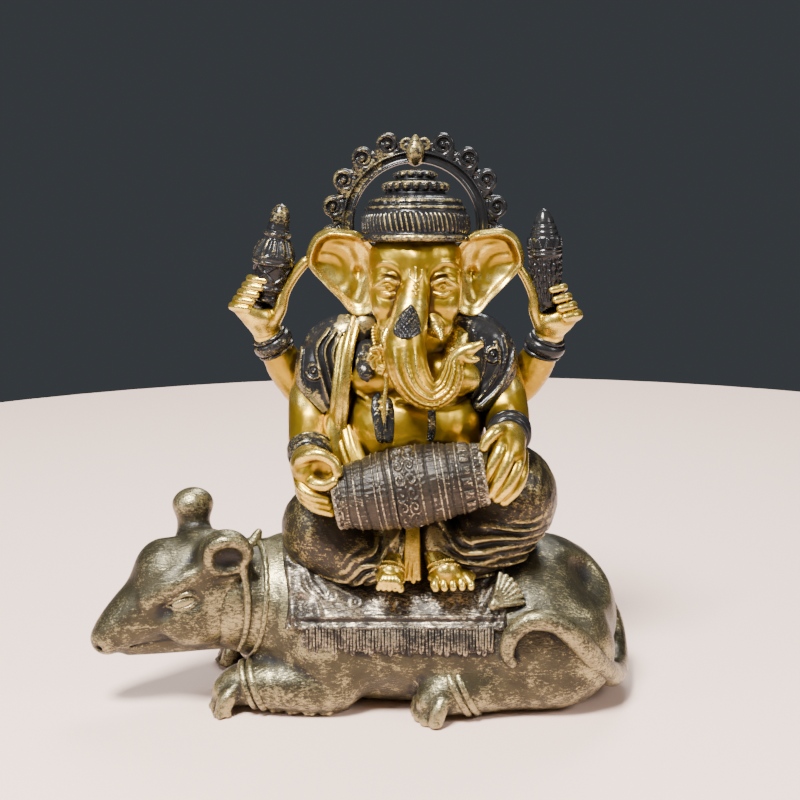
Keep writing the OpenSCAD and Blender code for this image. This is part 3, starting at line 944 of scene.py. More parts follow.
@dataclass(frozen=True)
class Finish:
    """One painted finish: a base coat, a dark wash in hollows that is also painted shade, and dry-brushed
    metal on high places that is also a painted highlight.
    """

    name: str
    slot: Slot
    base: Colour
    shade: Colour
    # the dark wash in hollows, also painted shade in creases and where pieces meet
    wash_and_shade: Colour
    # the dry-brushed metal on high places, also a painted highlight on ridges and edges
    bright: Colour
    rough: float = 0.35
    rough_bright: float = 0.3
    rough_wash_and_shade: float = 0.6
    metal: float = 0.8
    metal_wash_and_shade: float = 0.3
    metal_bright: float = 0.9
    wash_and_shade_strength: float = 1.2
    wash_and_shade_patch: float = 0.3
    gain: float = 1.0
    streak: float = 1.0
    limit: float = 0.5
    soft: float = 0.25
    paint: float = 0.3
    wave: float = 0.5
    marks: float = 0.0
    bump: float = 0.25
    coat: float = 0.0
    specular: float = 0.5

    def material(self, effects: Effects) -> bpy.types.Material:
        """The finish as a node material, built once.

        Args:
            effects: the shared shader groups.

        Returns:
            The material.
        """
        if self.name in bpy.data.materials:
            return bpy.data.materials[self.name]
        made = bpy.data.materials.new(self.name)
        made.use_nodes = True
        nodes = Nodes(made.node_tree)
        shader = made.node_tree.nodes["Principled BSDF"]
        place = nodes.new("ShaderNodeTexCoord").outputs["Object"]
        hollow, ridge, leaf = (nodes.new("ShaderNodeAttribute", attribute_name=key).outputs["Fac"]
                               for key in TRACES)

        wash_and_shade = nodes.new("ShaderNodeGroup", node_tree=effects.wash_and_shade)
        for key, value in {"Place": place, "Hollow": hollow, "Strength": self.wash_and_shade_strength,
                           "Patch": self.wash_and_shade_patch}.items():
            nodes.feed(wash_and_shade.inputs[key], value)
        brush = nodes.new("ShaderNodeGroup", node_tree=effects.brush)
        for key, value in {
            "Place": place, "Ridge": ridge, "Extra": leaf, "Gain": self.gain,
            "Streak": self.streak, "Limit": self.limit, "Soft": self.soft,
        }.items():
            nodes.feed(brush.inputs[key], value)
        grain = nodes.new("ShaderNodeGroup", node_tree=effects.grain)
        for key, value in {"Place": place, "Paint": self.paint, "Wave": self.wave,
                           "Marks": self.marks}.items():
            nodes.feed(grain.inputs[key], value)

        patch = nodes.step(nodes.noise(place, 260.0, 3.0, 0.6), 0.3, 0.7)
        colour = nodes.mix(patch, self.base, self.shade)
        # dark wash in hollows, also painted shade in creases and where pieces meet
        colour = nodes.mix(wash_and_shade.outputs[0], colour, self.wash_and_shade)
        # dry-brushed metal on high places, also a painted highlight on ridges
        colour = nodes.mix(brush.outputs[0], colour, self.bright)
        nodes.feed(shader.inputs["Base Color"], colour)
        rough = nodes.between(wash_and_shade.outputs[0], self.rough, self.rough_wash_and_shade)
        rough = nodes.between(brush.outputs[0], rough, self.rough_bright)
        speck = nodes.math("MULTIPLY_ADD", nodes.noise(place, 2500.0), 0.16, -0.08)
        nodes.feed(shader.inputs["Roughness"], nodes.math("ADD", rough, speck, clamp=True))
        metal = nodes.between(wash_and_shade.outputs[0], self.metal, self.metal_wash_and_shade)
        nodes.feed(shader.inputs["Metallic"], nodes.between(brush.outputs[0], metal, self.metal_bright))
        shader.inputs["Coat Weight"].default_value = self.coat
        shader.inputs["Specular IOR Level"].default_value = self.specular
        shader.inputs["Coat Roughness"].default_value = 0.12
        bump = nodes.new("ShaderNodeBump")
        bump.inputs["Strength"].default_value = self.bump
        bump.inputs["Distance"].default_value = 0.12 * MM
        nodes.feed(bump.inputs["Height"], grain.outputs[0])
        nodes.feed(shader.inputs["Normal"], bump.outputs[0])
        return made


TRACES = ("hollow", "ridge", "leaf")

# on gold, the wash colour is also painted shade in hollows and the bright colour is also a painted highlight
# on ridges
GOLD = Finish(
    "bright_gold_paint", Slot.GOLD, (0.42, 0.273, 0.015), (0.32, 0.19, 0.008), (0.06, 0.028, 0.002),
    (0.90, 0.70, 0.17),
    rough=0.33, rough_bright=0.23, rough_wash_and_shade=0.42, metal=0.9, metal_wash_and_shade=0.75, metal_bright=0.95,
    wash_and_shade_strength=1.0,
    wash_and_shade_patch=0.3, gain=0.7, streak=0.8, limit=0.4, soft=0.6, paint=0.3, wave=0.6, bump=0.35,
)
BLACK = Finish(
    "black_gloss_gold_edges", Slot.BLACK, (0.008, 0.008, 0.009), (0.014, 0.014, 0.015),
    (0.003, 0.003, 0.004),
    (0.40, 0.31, 0.12), rough=0.2, rough_bright=0.34, rough_wash_and_shade=0.4, metal=0.0, metal_wash_and_shade=0.0,
    metal_bright=0.9,
    gain=0.8, streak=1.6, limit=0.66, soft=0.22, paint=0.2, wave=0.4, bump=0.3, coat=0.0, specular=0.28,
)
SILVER = Finish(
    "silver_gold_brushed", Slot.SILVER, (0.020, 0.018, 0.017), (0.036, 0.030, 0.024), (0.003, 0.003, 0.004),
    (0.40, 0.33, 0.22), rough=0.38, rough_bright=0.30, rough_wash_and_shade=0.6, metal=0.5, metal_bright=0.9,
    gain=0.7, streak=2.5, limit=0.3, soft=0.45, paint=0.5, wave=0.4, marks=1.2, bump=0.5,
)
DRUM = Finish(
    "drum_silver_gold_brushed", Slot.SILVER, (0.016, 0.013, 0.010), (0.040, 0.030, 0.019),
    (0.003, 0.003, 0.003),
    (0.46, 0.38, 0.25), rough=0.36, rough_bright=0.28, rough_wash_and_shade=0.6, metal=0.5, metal_bright=0.9,
    gain=0.7, streak=2.9, limit=0.42, soft=0.34, paint=0.5, wave=0.4, marks=1.5, bump=0.6,
)
TROUSER = Finish(
    "dark_cloth_gold_rubbed", Slot.BLACK, (0.016, 0.013, 0.009), (0.032, 0.024, 0.013),
    (0.003, 0.003, 0.003),
    (0.36, 0.28, 0.11), rough=0.34, rough_bright=0.31, rough_wash_and_shade=0.5, metal=0.5, metal_bright=0.9,
    gain=0.6, streak=2.6, limit=0.18, soft=0.45, paint=0.4, wave=0.5, marks=0.9, bump=0.5,
)
BRONZE = Finish(
    "antique_bronze_rubbed", Slot.BRONZE, (0.060, 0.053, 0.030), (0.036, 0.032, 0.020),
    (0.005, 0.0045, 0.004),
    (0.33, 0.285, 0.15), rough=0.36, rough_bright=0.28, rough_wash_and_shade=0.5, metal=0.72, metal_bright=0.9,
    wash_and_shade_strength=1.4, gain=0.42, streak=2.5, limit=0.08, soft=0.5, paint=0.5, wave=0.6, marks=1.2,
    bump=0.55,
)


# ---------------------------------------------------------------- pieces


@dataclass
class Made:
    """A finished piece with its normals, kept until its hollows and ridges are worked out for the wash with
    painted shade and the brush with painted highlight.
    """

    item: bpy.types.Object
    points: Array
    normals: Array
    areas: Array
    leaf: Array


class Bench:
    """Turns surfaces into pieces on the frame, and once all are there marks their hollows and ridges for
    paint, painted shade and painted highlight.
    """

    def __init__(self) -> None:
        """Starts with no pieces."""
        self.effects = Effects()
        self.made: list[Made] = []

    def piece(
        self,
        name: str,
        surface: Surface,
        finish: Finish,
        replaces: Sequence[str] = (),
        leaf: Union[float, Array] = 0.0,
        slot: Optional[Slot] = None,
    ) -> None:
        """Makes one piece of the model.

        Args:
            name: the piece's name.
            surface: vertices in millimetres in the part's frame, and faces that face outwards.
            finish: how it is painted.
            replaces: the CAD nodes that it stands for.
            leaf: extra metal paint, less where negative, for the whole piece or each vertex.
            slot: not used; the record's slot, where it isn't the finish's own.
        """
        points, faces = surface
        mesh = bpy.data.meshes.new(name)
        four = faces[:, 2] != faces[:, 3]
        quads, threes = faces[four], faces[~four][:, :3]
        corners = np.concatenate([quads.reshape(-1), threes.reshape(-1)]).astype(np.int32)
        mesh.vertices.add(len(points))
        mesh.vertices.foreach_set("co", (points * MM).astype(np.float32).reshape(-1))
        mesh.loops.add(len(corners))
        mesh.loops.foreach_set("vertex_index", corners)
        counts = np.concatenate([np.full(len(quads), 4), np.full(len(threes), 3)]).astype(np.int32)
        mesh.polygons.add(len(counts))
        starts = np.concatenate([[0], np.cumsum(counts)[:-1]]).astype(np.int32)
        mesh.polygons.foreach_set("loop_start", starts)
        mesh.polygons.foreach_set("use_smooth", np.ones(len(counts), bool))
        mesh.update(calc_edges=True)
        mesh.validate()
        item = bpy.data.objects.new(name, mesh)
        bpy.context.scene.collection.objects.link(item)
        item.data.materials.append(finish.material(self.effects))
        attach(item, "root")
        if replaces:
            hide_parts(*replaces)

        normals = np.zeros_like(points)
        areas = np.zeros(len(points))
        cross = np.cross(points[faces[:, 2]] - points[faces[:, 0]],
                         points[faces[:, 3]] - points[faces[:, 1]]) * 0.5
        size = np.linalg.norm(cross, axis=1)
        for corner in range(4):
            for axis in range(3):
                normals[:, axis] += np.bincount(faces[:, corner], cross[:, axis], len(points))
            areas += np.bincount(faces[:, corner], size / 4, len(points))
        self.made.append(Made(item, points, unit(normals), areas, leaf + np.zeros(len(points))))
        LOG.info("%s: %d points, %d faces", name, len(points), len(faces))

    def paint(self, cell: float = 0.4, radii: Sequence[float] = (0.45, 1.3)) -> None:
        """Finds hollows and ridges over the whole model and stores them on each piece; the hollows carry the
        wash and painted shade, the ridges the dry brush and painted highlight.

        Every point's share of the surface is dropped into a grid of cells. The grid is blurred to a
        radius, which gives the mean place of the surface round any point. How far that mean lies in
        front of a point, over the radius, is its hollow, and how far it lies behind is its ridge.

        Args:
            cell: grid size in millimetres.
            radii: blur radii in millimetres.
        """
        points = np.vstack([m.points for m in self.made])
        normals = np.vstack([m.normals for m in self.made])
        areas = np.concatenate([m.areas for m in self.made])
        low = points.min(0) - 6 * cell
        shape = tuple(np.ceil((points.max(0) + 6 * cell - low) / cell).astype(int))
        place = (points - low) / cell
        near = np.ravel_multi_index(np.floor(place + 0.5).astype(int).T, shape)
        held = [np.bincount(near, areas, int(np.prod(shape)))]
        held += [np.bincount(near, areas * points[:, i], int(np.prod(shape))) for i in range(3)]
        held = [h.reshape(shape).astype(np.float32) for h in held]
        fronts = []
        for radius in radii:
            blurred = [blur(h, radius / cell) for h in held]
            sampled = [trilinear(b, place) for b in blurred]
            mean = np.stack(sampled[1:], 1) / np.maximum(sampled[0], 1e-9)[:, None]
            fronts.append(np.sum((mean - points) * normals, axis=1) / radius)
        fine, broad = fronts
        # hollow: dark wash and painted shade in creases and where pieces meet; ridge: dry brush and a
        # painted highlight on edges
        hollow = np.clip(3.2 * fine + 0.9 * broad - 0.04, 0, 1)
        ridge = np.clip(-3.4 * fine - 1.1 * broad - 0.12, 0, 1)
        start = 0
        for made in self.made:
            stop = start + len(made.points)
            for key, values in zip(TRACES, (hollow[start:stop], ridge[start:stop], made.leaf)):
                layer = made.item.data.attributes.new(key, "FLOAT", "POINT")
                layer.data.foreach_set("value", values.astype(np.float32))
            start = stop


def blur(grid: Array, radius: float) -> Array:
    """A grid blurred by a bell of the given radius in cells, one axis after another.

    Args:
        grid: values in cells.
        radius: the bell's radius in cells.

    Returns:
        A grid of the same size.
    """
    reach = int(math.ceil(2.2 * radius))
    weights = np.exp(-0.5 * (np.arange(-reach, reach + 1) / radius) ** 2)
    weights /= weights.sum()
    for axis in range(3):
        total = np.zeros_like(grid)
        for shift, weight in zip(range(-reach, reach + 1), weights):
            source = [slice(None)] * 3
            target = [slice(None)] * 3
            source[axis] = slice(max(shift, 0), grid.shape[axis] + min(shift, 0))
            target[axis] = slice(max(-shift, 0), grid.shape[axis] + min(-shift, 0))
            total[tuple(target)] += np.float32(weight) * grid[tuple(source)]
        grid = total
    return grid


def trilinear(grid: Array, place: Array) -> Array:
    """Values of a grid at places given in cells, by linear mixing along each axis.

    Args:
        grid: values in cells.
        place: places in cells.

    Returns:
        One value for each place.
    """
    base = np.clip(np.floor(place).astype(int), 0, np.array(grid.shape) - 2)
    share = place - base
    total = np.zeros(len(place))
    for corner in np.ndindex(2, 2, 2):
        weight = np.prod(np.where(np.array(corner) == 1, share, 1 - share), axis=1)
        at = base + np.array(corner)
        total += weight * grid[at[:, 0], at[:, 1], at[:, 2]]
    return total


@dataclass(frozen=True)
class Places:
    """Where the two figures stand in the part's frame, in millimetres."""

    mouse: Array
    idol: Array

    @staticmethod
    def from_frame() -> "Places":
        """Works the places out from the saddle cloth's, crown's and halo's boxes.

        Returns:
            Both places.
        """
        cloth, crown, halo = (np.array(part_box(node)) / MM
                              for node in ("saddle_cloth", "crown", "halo_ring"))
        cloth_middle, crown_middle, halo_middle = (box.mean(0) for box in (cloth, crown, halo))
        mouse = np.array([cloth_middle[0] - 4.5, cloth_middle[1] - 0.5, 0.0])
        idol = np.array([crown_middle[0], halo_middle[1] - 3.6, halo[1][2] - 61.3])
        return Places(mouse, idol)


@dataclass(frozen=True)
class Wrinkled:
    """A shape with relief: the height is taken off the distance, so it stands out of the skin."""

    shape: Shape
    relief: Callable[[Array], Array]

    def __call__(self, points: Array) -> Array:
        """Distance less the relief's height."""
        return self.shape(points) - self.relief(points)


def ball(centre: Point, radius: float) -> Egg:
    """A round mass."""
    return Egg(centre, (radius, radius, radius))


@dataclass
class Sculpture:
    """A sub-assembly that stands at one place on the frame and hands its pieces to the bench."""

    bench: Bench
    at: Array

    def put(
        self, name: str, surface: Surface, finish: Finish, leaf: Union[float, Shape] = 0.0,
        replaces: Optional[Sequence[str]] = None, slot: Optional[Slot] = None,
    ) -> None:
        """Hands one piece to the bench.

        Args:
            name: the piece's name.
            surface: the piece measured from where the sub-assembly stands.
            finish: how it is painted.
            leaf: extra metal paint, as one number or from the surface's vertices.
            replaces: the CAD nodes that it stands for, where they aren't the one of its own name.
            slot: the record's slot, where it isn't the finish's own.
        """
        nodes = (name,) if replaces is None else replaces
        extra = leaf(surface[0]) if callable(leaf) else leaf
        self.bench.piece(name, moved(surface, self.at), finish, nodes, extra, slot)


@dataclass
class Mouse(Sculpture):
    """The resting mouse, with its ears, neck cord, anklets, tail and saddle cloth."""

    axis_y: float = 0.5
    skin_step: float = 0.42
    head_step: float = 0.22
    cloth_from: float = -11.5
    cloth_to: float = 20.5
    cloth_height: float = 0.9
    hem_angle: float = 16.0
    fringe_low: float = 10.7
    fringe_loops: int = 30
    head_turn: float = 16.7
    neck_at: Point = (-16.0, -2.0, 0.0)
    legs: Sequence[Sequence[Point]] = (
        ((-5.4, -9.0, 9.6, 5), (-4.6, -9.4, 4.6, 4.4), (-12, -9.7, 4.3, 3.9), (-17.6, -8.8, 4.0, 3.2),
         (-20.2, -9.2, 3.0, 2.4)),
        ((-5.4, 9.2, 9.6, 5), (-4.6, 10.6, 4.6, 4.4), (-12, 11.4, 3.9, 3.8), (-18.6, 11.2, 3.2, 3.0),
         (-21.4, 11.0, 2.5, 2.3)),
        ((27, -7.0, 7.4, 6), (23.5, -8.6, 5.0, 4.5), (16, -10.8, 4.3, 3.9), (12, -12.0, 4.1, 3.5),
         (9.8, -13.3, 3.0, 2.4)),
        ((27, 8.6, 7, 6), (23.5, 11, 4.4, 4.4), (16, 12.0, 4.1, 3.8), (12, 12.5, 4.1, 3.6),
         (9.3, 12.6, 3.4, 3.0)),
    )

    def trunk_form(self) -> Clay:
        """Shoulders, barrel and rump without the legs.

        Returns:
            The lump, also used to lay the cloth and cord on.
        """
        clay = Clay()
        clay.add(Egg((-8.5, self.axis_y, 11.6), (9.6, 12.8, 12.4)))
        clay.add(Egg((3, self.axis_y, 10.2), (13, 14.2, 11.2)), 5.0)
        clay.add(Egg((14, self.axis_y, 10.0), (11, 14.6, 11.4)), 5.0)
        clay.add(Egg((25.2, self.axis_y, 11.6), (12.8, 13.8, 12.3)), 5.0)
        clay.add(Limb([(-10, 0.2, 14.0, 9.8), (-15, -1.4, 14.8, 8.8), (-19.5, -2.8, 15.6, 8.0)], 5), 3.0)
        for side in (-1.0, 1.0):
            clay.add(Egg((-4.6, self.axis_y + side * 9.2, 10.4), (6.6, 4.2, 7.8), (0, -12, 0)), 2.4)
            clay.add(Egg((26.4, self.axis_y + side * 9.4, 9.4), (10.4, 5.8, 9.0), (0, 14, 0)), 2.4)
        return clay

    def leg(self, clay: Clay, rows: Sequence[Point], toes: Sequence[float], spread: float) -> None:
        """A folded leg laid along the ground, ending in a paw of long toes.

        Args:
            clay: the lump that it's pressed on.
            rows: the leg's path with radii, from the body to the paw.
            toes: sideways places of the toes, in toe widths from the middle.
            spread: how far each toe fans out.
        """
        clay.add(Limb(rows, 21), 1.6)
        wrist, tip = np.asarray(rows[-2], float), np.asarray(rows[-1], float)
        ahead = unit(tip[:3] - wrist[:3])
        middle = 0.5 * (wrist[:3] + tip[:3])
        for toe in toes:
            across = toe * np.array([-ahead[1], ahead[0], 0.0])
            sink = 0.35 * toe * toe
            root = wrist[:3] + ahead * 0.8 + 1.3 * across + np.array([0, 0, 1.9 - sink])
            knuckle = middle + ahead * 1.5 + 1.75 * across + np.array([0, 0, 0.6 - sink])
            end = tip[:3] + ahead * (1.6 - 0.3 * toe * toe) + spread * across + np.array([0, 0, -1.6])
            clay.add(Limb([(*root, 1.0), (*knuckle, 1.3), (*end, 1.1)], 13), 0.12)

    def body_form(self) -> Clay:
        """The trunk with haunches, shoulder blades, four folded legs and soft hollows.

        Returns:
            The whole lump below the head.
        """
        clay = self.trunk_form()
        for side in (-1.0, 1.0):
            clay.carve(Egg((5.6, self.axis_y + side * 16.4, 1.2), (8.2, 4.6, 4.4)), 2.6)
        for rows in self.legs:
            self.leg(clay, rows, (-1.45, -0.5, 0.5, 1.45), 1.95)
        clay.carve(Egg((33.5, -6.2, 19.4), (3.6, 4.6, 2.2), (0, 44, 0)), 2.4)
        clay.carve(Limb([(-1.2, -14.2, 12.6, 0.5), (0.8, -15.0, 7.6, 0.8), (1.6, -14.6, 3.4, 0.9)], 7), 1.6)
        clay.carve(Limb([(14.4, -15.2, 10.4, 0.4), (16.6, -15.6, 8.0, 0.7), (15.4, -15.6, 6.6, 0.5)], 7),
                   1.2)
        clay.carve(Slab((0, 0, 0), (0, 0, 1)), 0.25)
        return clay

    def head_axes(self) -> Array:
        """Columns: ahead along the nose, towards the near side, and up.

        Returns:
            A square matrix.
        """
        turn = math.radians(self.head_turn)
        ahead = np.array([-math.cos(turn), -math.sin(turn), 0.0])
        near = np.array([math.sin(turn), -math.cos(turn), 0.0])
        return np.stack([ahead, near, np.array([0.0, 0.0, 1.0])], 1)

    def on_neck(self, surface: Surface) -> Surface:
        """A surface of the head's own frame, turned and set on the neck."""
        return moved((surface[0] @ self.head_axes().T, surface[1]), np.asarray(self.neck_at, float))

    def head_form(self) -> Clay:
        """The head in its own frame: u ahead along the nose, v towards the near side, w up.

        Returns:
            The lump, with no ears.
        """
        clay = Clay()
        clay.add(Limb([(-1.5, 0, 15.0, 8.2), (3.0, 0, 15.8, 7.8)], 2))
        clay.add(Egg((8.2, 0, 17.8), (7.4, 6.9, 8.5)), 1.6)
        clay.add(Egg((13.9, 0, 19.1), (4.9, 5.6, 6.2)), 1.6)
        clay.add(Limb([(12.6, 0, 17.0, 5.6), (16.0, 0, 15.4, 5.0), (19.0, 0, 13.6, 4.1),
                       (21.3, 0, 12.1, 3.2), (22.7, 0, 11.0, 2.5)], 33), 1.6)
        clay.add(Limb([(6.5, 0, 12.8, 5.0), (12.4, 0, 11.4, 3.6), (17.0, 0, 10.2, 2.3),
                       (19.4, 0, 9.5, 1.5)], 25), 1.4)
        for side in (-1.0, 1.0):
            clay.add(Egg((10.2, side * 4.4, 14.2), (4.8, 2.4, 3.9), (0, 14, 0)), 1.4)
            clay.add(Limb([(17.0, side * 3.9, 17.6, 0.5), (13.6, side * 5.2, 19.6, 0.9),
                           (10.0, side * 5.9, 21.6, 1.1),
                           (7.6, side * 6.0, 22.8, 1.1)], 25), 1.8)
            clay.carve(Egg((5.4, side * 8.3, 14.2), (1.4, 2.3, 5.2)), 1.0)
            clay.add(Limb([(17.0, side * 3.0, 13.6, 0.6), (13.4, side * 4.4, 13.8, 0.8),
                           (10.2, side * 5.3, 14.8, 0.7)], 21), 1.6)
            clay.carve(Egg((12.0, side * 7.15, 17.6), (2.5, 1.0, 1.45), (0, 12, 0)), 0.8)
            clay.carve(Egg((15.9, side * 5.5, 15.7), (2.2, 0.6, 0.8), (0, 30, 0)), 1.2)
            lid = [(10.0, side * 6.15, 17.9, 0.24), (11.6, side * 6.45, 18.75, 0.3),
                   (13.2, side * 6.0, 18.1, 0.27),
                   (14.6, side * 5.25, 16.9, 0.18)]
            clay.add(Limb(lid, 13), 0.22)
            low = [(10.1, side * 6.1, 17.6, 0.2), (11.6, side * 6.3, 16.7, 0.24),
                   (13.2, side * 5.9, 16.5, 0.22),
                   (14.6, side * 5.2, 16.7, 0.16)]
            clay.add(Limb(low, 13), 0.22)
            clay.carve(Limb([(19.6, side * 2.3, 10.25, 0.22), (16.2, side * 3.1, 10.55, 0.34),
                             (12.8, side * 4.0, 11.5, 0.26),
                             (11.4, side * 4.5, 12.0, 0.1)], 13), 0.22)
            clay.carve(Egg((24.0, side * 1.5, 10.2), (0.6, 0.4, 0.4)), 0.4)
            clay.add(Limb([(3.6, side * 7.0, 22.0, 0.5), (3.2, side * 7.9, 17.0, 0.5),
                           (3.6, side * 7.6, 12.4, 0.45), (4.4, side * 6.4, 9.4, 0.3)], 25), 0.5)
        return clay

    def near_ear(self, clay: Clay) -> None:
        """An oval cup with a thick rim that looks towards the viewer.

        Args:
            clay: the head, which the ear is pressed on.
        """
        rim_turn = (14, 0, 0)
        at = np.array([6.1, 6.7, 24.2])
        clay.add(Egg(tuple(at + (-0.1, -1.2, 0.1)), (3.9, 2.6, 3.3), rim_turn), 1.6)
        clay.add(Egg(tuple(at + (-0.1, 0.1, 0.1)), (3.3, 2.1, 2.9), rim_turn), 0.6)
        clay.carve(Egg(tuple(at + (0.1, 2.3, -0.6)), (2.6, 2.0, 2.0), rim_turn), 0.9)
        rim = [(3.0 * math.cos(a), 1.2 + 0.8 * math.sin(a) - 0.35 * math.cos(a), 2.5 * math.sin(a) + 0.2)
               for a in np.linspace(-0.18 * TAU, 0.56 * TAU, 15)]
        rows = [(*(at + np.array([x, y, z])), 0.12 + 0.85 * float(ease(np.array(z - 0.3 * x), -1.6, 2.4)))
                for x, y, z in rim]
        clay.add(Limb(rows, 49), 0.8)

    def far_ear(self, clay: Clay) -> None:
        """An upright knob on a short stalk.

        Args:
            clay: the head, which the ear is pressed on.
        """
        clay.add(Limb([(8.6, -4.6, 21.0, 3.2), (8.7, -5.1, 25.0, 2.5), (8.7, -5.3, 28.4, 2.5)], 21), 2.0)
        clay.add(Egg((8.7, -5.4, 28.9), (2.95, 2.3, 2.1)), 1.4)
        clay.carve(Egg((8.8, -8.3, 28.0), (1.9, 1.2, 1.7)), 0.6)

    @staticmethod
    def hide(points: Array) -> Array:
        """Soft waves over the skin, and a thin uneven skirt left by the mould round the front paws.

        Args:
            points: places in millimetres.

        Returns:
            Height above the smooth skin.
        """
        x, y, z = points[..., 0], points[..., 1], points[..., 2]
        edge = 0.5 + 0.3 * np.sin(2.3 * x + 1.3 * np.sin(0.9 * y)) + 0.2 * np.sin(5.1 * x + 2.0)
        skirt = hump(z, 0.35, 0.4) * ease(x, 4.0, -4.0) * edge
        return 0.06 * ripple(points, 5.5, 1.0) + 0.6 * skirt

    def build_body(self) -> None:
        """Body with legs in one cast, then the head as its own."""
        body = self.body_form()
        low, high = (-25.5, -17, 0), (39, 18, 25.5)
        surface = net(Wrinkled(body, self.hide), low, high, self.skin_step)
        legs = [f"mouse_{pair}_leg_{side}" for pair in ("fore", "hind") for side in ("near", "far")]
        self.put("mouse_body", surface, BRONZE, self.worn_feet, ("mouse_body", *legs))
        clay = self.head_form()
        self.near_ear(clay)
        self.far_ear(clay)
        head = self.on_neck(net(clay, (-9, -9, 7), (25.8, 10.5, 31.8), self.head_step))
        self.put("mouse_head", head, BRONZE, -0.06, ("mouse_head", "mouse_ear_near", "mouse_ear_far"))
        eyes = []
        for side in (-1.0, 1.0):
            eye = Egg((12.1, side * 5.55, 17.45), (1.9, 0.95, 1.0), (0, 14, 0))
            eyes.append(self.on_neck(net(eye, (9, side * 6 - 2, 15), (15, side * 6 + 2, 20), 0.16)))
        self.put("mouse_eyes", joined(eyes), BRONZE, 0.25)

    def worn_feet(self, points: Array) -> Array:
        """More metal paint low on the near side, up to the part's own middle plane."""
        return 0.16 * ease(points[:, 2], 7.0, 0.5) * (points[:, 1] < -self.at[1])

    def build_trim(self) -> None:
        """Neck cord with its knot, anklets and the long tail."""
        form = self.trunk_form()
        axis = unit(np.array([-7.5, -2.5, 1.3]))
        centre = np.array([-17.2, -2.1, 15.2])

        def twist(around: Array, section: Array) -> Array:
            """The cord's strands: a sine that leans across the section."""
            return 0.08 * np.sin(34 * around + 2 * section)

        cord = hoop(centre, axis, 8.7, 0.45, 0.42, 180, twist, form)
        knot = net(
            Clay().add(Limb([(-16.6, -1.6, 23.2, 0.9), (-16.3, -1.5, 24.1, 0.85),
                             (-15.9, -1.5, 25.0, 0.55)], 9), 0.3)
            .add(Egg((-17.0, -2.3, 23.6), (1.1, 1.4, 0.8)), 0.3),
            (-19, -4.2, 21.5), (-14.2, 1, 26.8), 0.2,
        )
        self.put("mouse_neck_cord", joined([cord, knot]), BRONZE)
        bands = []
        wrists = ((-16.2, -8.9, 0.35), (-16.2, 11.3, 0.35), (14.6, -11.3, 0.5), (14.6, 12.15, 0.5))
        for rows, (x, y, tilt) in zip(self.legs, wrists):
            limb = Limb(rows, 33)
            for shift in (-0.7, 0.6):
                centre = np.array([x + shift, y, 3.7])
                bands.append(hoop(centre, (1.0, 0.0, tilt), 3.4, 0.55, 0.42, 72, None, limb))
        rings = joined(bands)
        rings[0][:, 2] = np.maximum(rings[0][:, 2], 0.05)
        self.put("mouse_anklets", rings, BRONZE)
        knots = [
            (35.2, 7, 13.0, 2.3), (37.6, 5.8, 8.6, 2.2), (38.2, 2.6, 5.2, 2.1), (37.8, -2.2, 3.9, 2.0),
            (36.4, -7.2, 4.9, 1.9),
            (33.6, -11.6, 8.6, 1.8), (30.6, -14.3, 12.9, 1.7), (27.4, -15.4, 15.8, 1.6),
            (23.9, -15.7, 16.3, 1.5),
            (21.4, -15.8, 14.6, 1.3), (20.5, -15.6, 12.4, 1.15), (20.6, -15.5, 10.8, 0.95),
            (21.2, -15.4, 9.8, 0.75),
        ]
        rows = spline(knots, 150)

        def groove(share: Array, angle: Array) -> Array:
            """Fine rings across the upper side."""
            return 0.05 * np.sin(150 * share) * ease(np.cos(angle), -0.2, 1.0)

        tail = tube(rows[:, :3], rows[:, 3], 30, groove)
        self.put("mouse_tail", tail, BRONZE, leaf=-0.08)

    def saddle_points(self, along: Array, share: Array, lift: Array) -> Array:
        """Points on the cloth: a ray from the barrel's axis at each x, as far as the skin plus lift.

        Args:
            along: x of each point.
            share: 0 at the near hem, 1 at the far hem.
            lift: height above the skin.

        Returns:
            A point for each x and share.
        """
        angle = np.radians(self.hem_angle + share * (180 - 2 * self.hem_angle))
        out = np.stack([np.zeros_like(angle), -np.cos(angle), np.sin(angle)], -1)
        start = np.stack([along, np.full_like(along, self.axis_y), np.full_like(along, 10.0)], -1)
        reach = ray_length(self.trunk_form(), start.reshape(-1, 3), out.reshape(-1, 3),
                           24.0).reshape(along.shape)
        return start + (reach + lift)[..., None] * out

    def cloth_relief(self, along: Array, share: Array) -> Array:
        """Height of the cloth's folds, double hem line and stamped flowers, in millimetres.

        Args:
            along: x of each point.
            share: 0 at the near hem, 1 at the far hem.

        Returns:
            Height above the plain cloth.
        """
        arc = np.minimum(share, 1 - share) * 34.0
        x = along - self.cloth_from
        slant = x + 0.8 * arc + 0.9 * np.sin(0.8 * x + 0.4 * arc)
        corner = ease(x, 8.5, 1.0) * ease(arc, 14.0, 3.0)
        uneven = 0.6 + 0.4 * np.sin(1.9 * x - 0.7 * arc)
        folds = 0.5 * corner * np.sin(2.3 * slant + 0.9 * np.sin(1.3 * arc)) * uneven
        right = ease(x, 25.0, 31.0)
        folds += 0.2 * right * np.sin(2.9 * (x - 0.6 * arc))
        hem = 0.22 * hump(arc, 0.35, 0.3) + 0.3 * hump(arc, 1.7, 0.28) - 0.2 * hump(arc, 1.05, 0.25)
        soft = 0.16 * np.sin(0.9 * x + 1.1 * arc) * np.sin(0.55 * arc + 0.4 * x)
        flowers = np.zeros_like(along)
        for centre in np.arange(7.0, 28.0, 3.4):
            away = np.hypot(x - centre, (arc - 4.2 - 0.5 * np.sin(centre)) * 1.1)
            flowers += 0.14 * hump(away, 0.75, 0.28) + 0.12 * hump(away, 0.0, 0.3)
        return folds + hem + soft + flowers

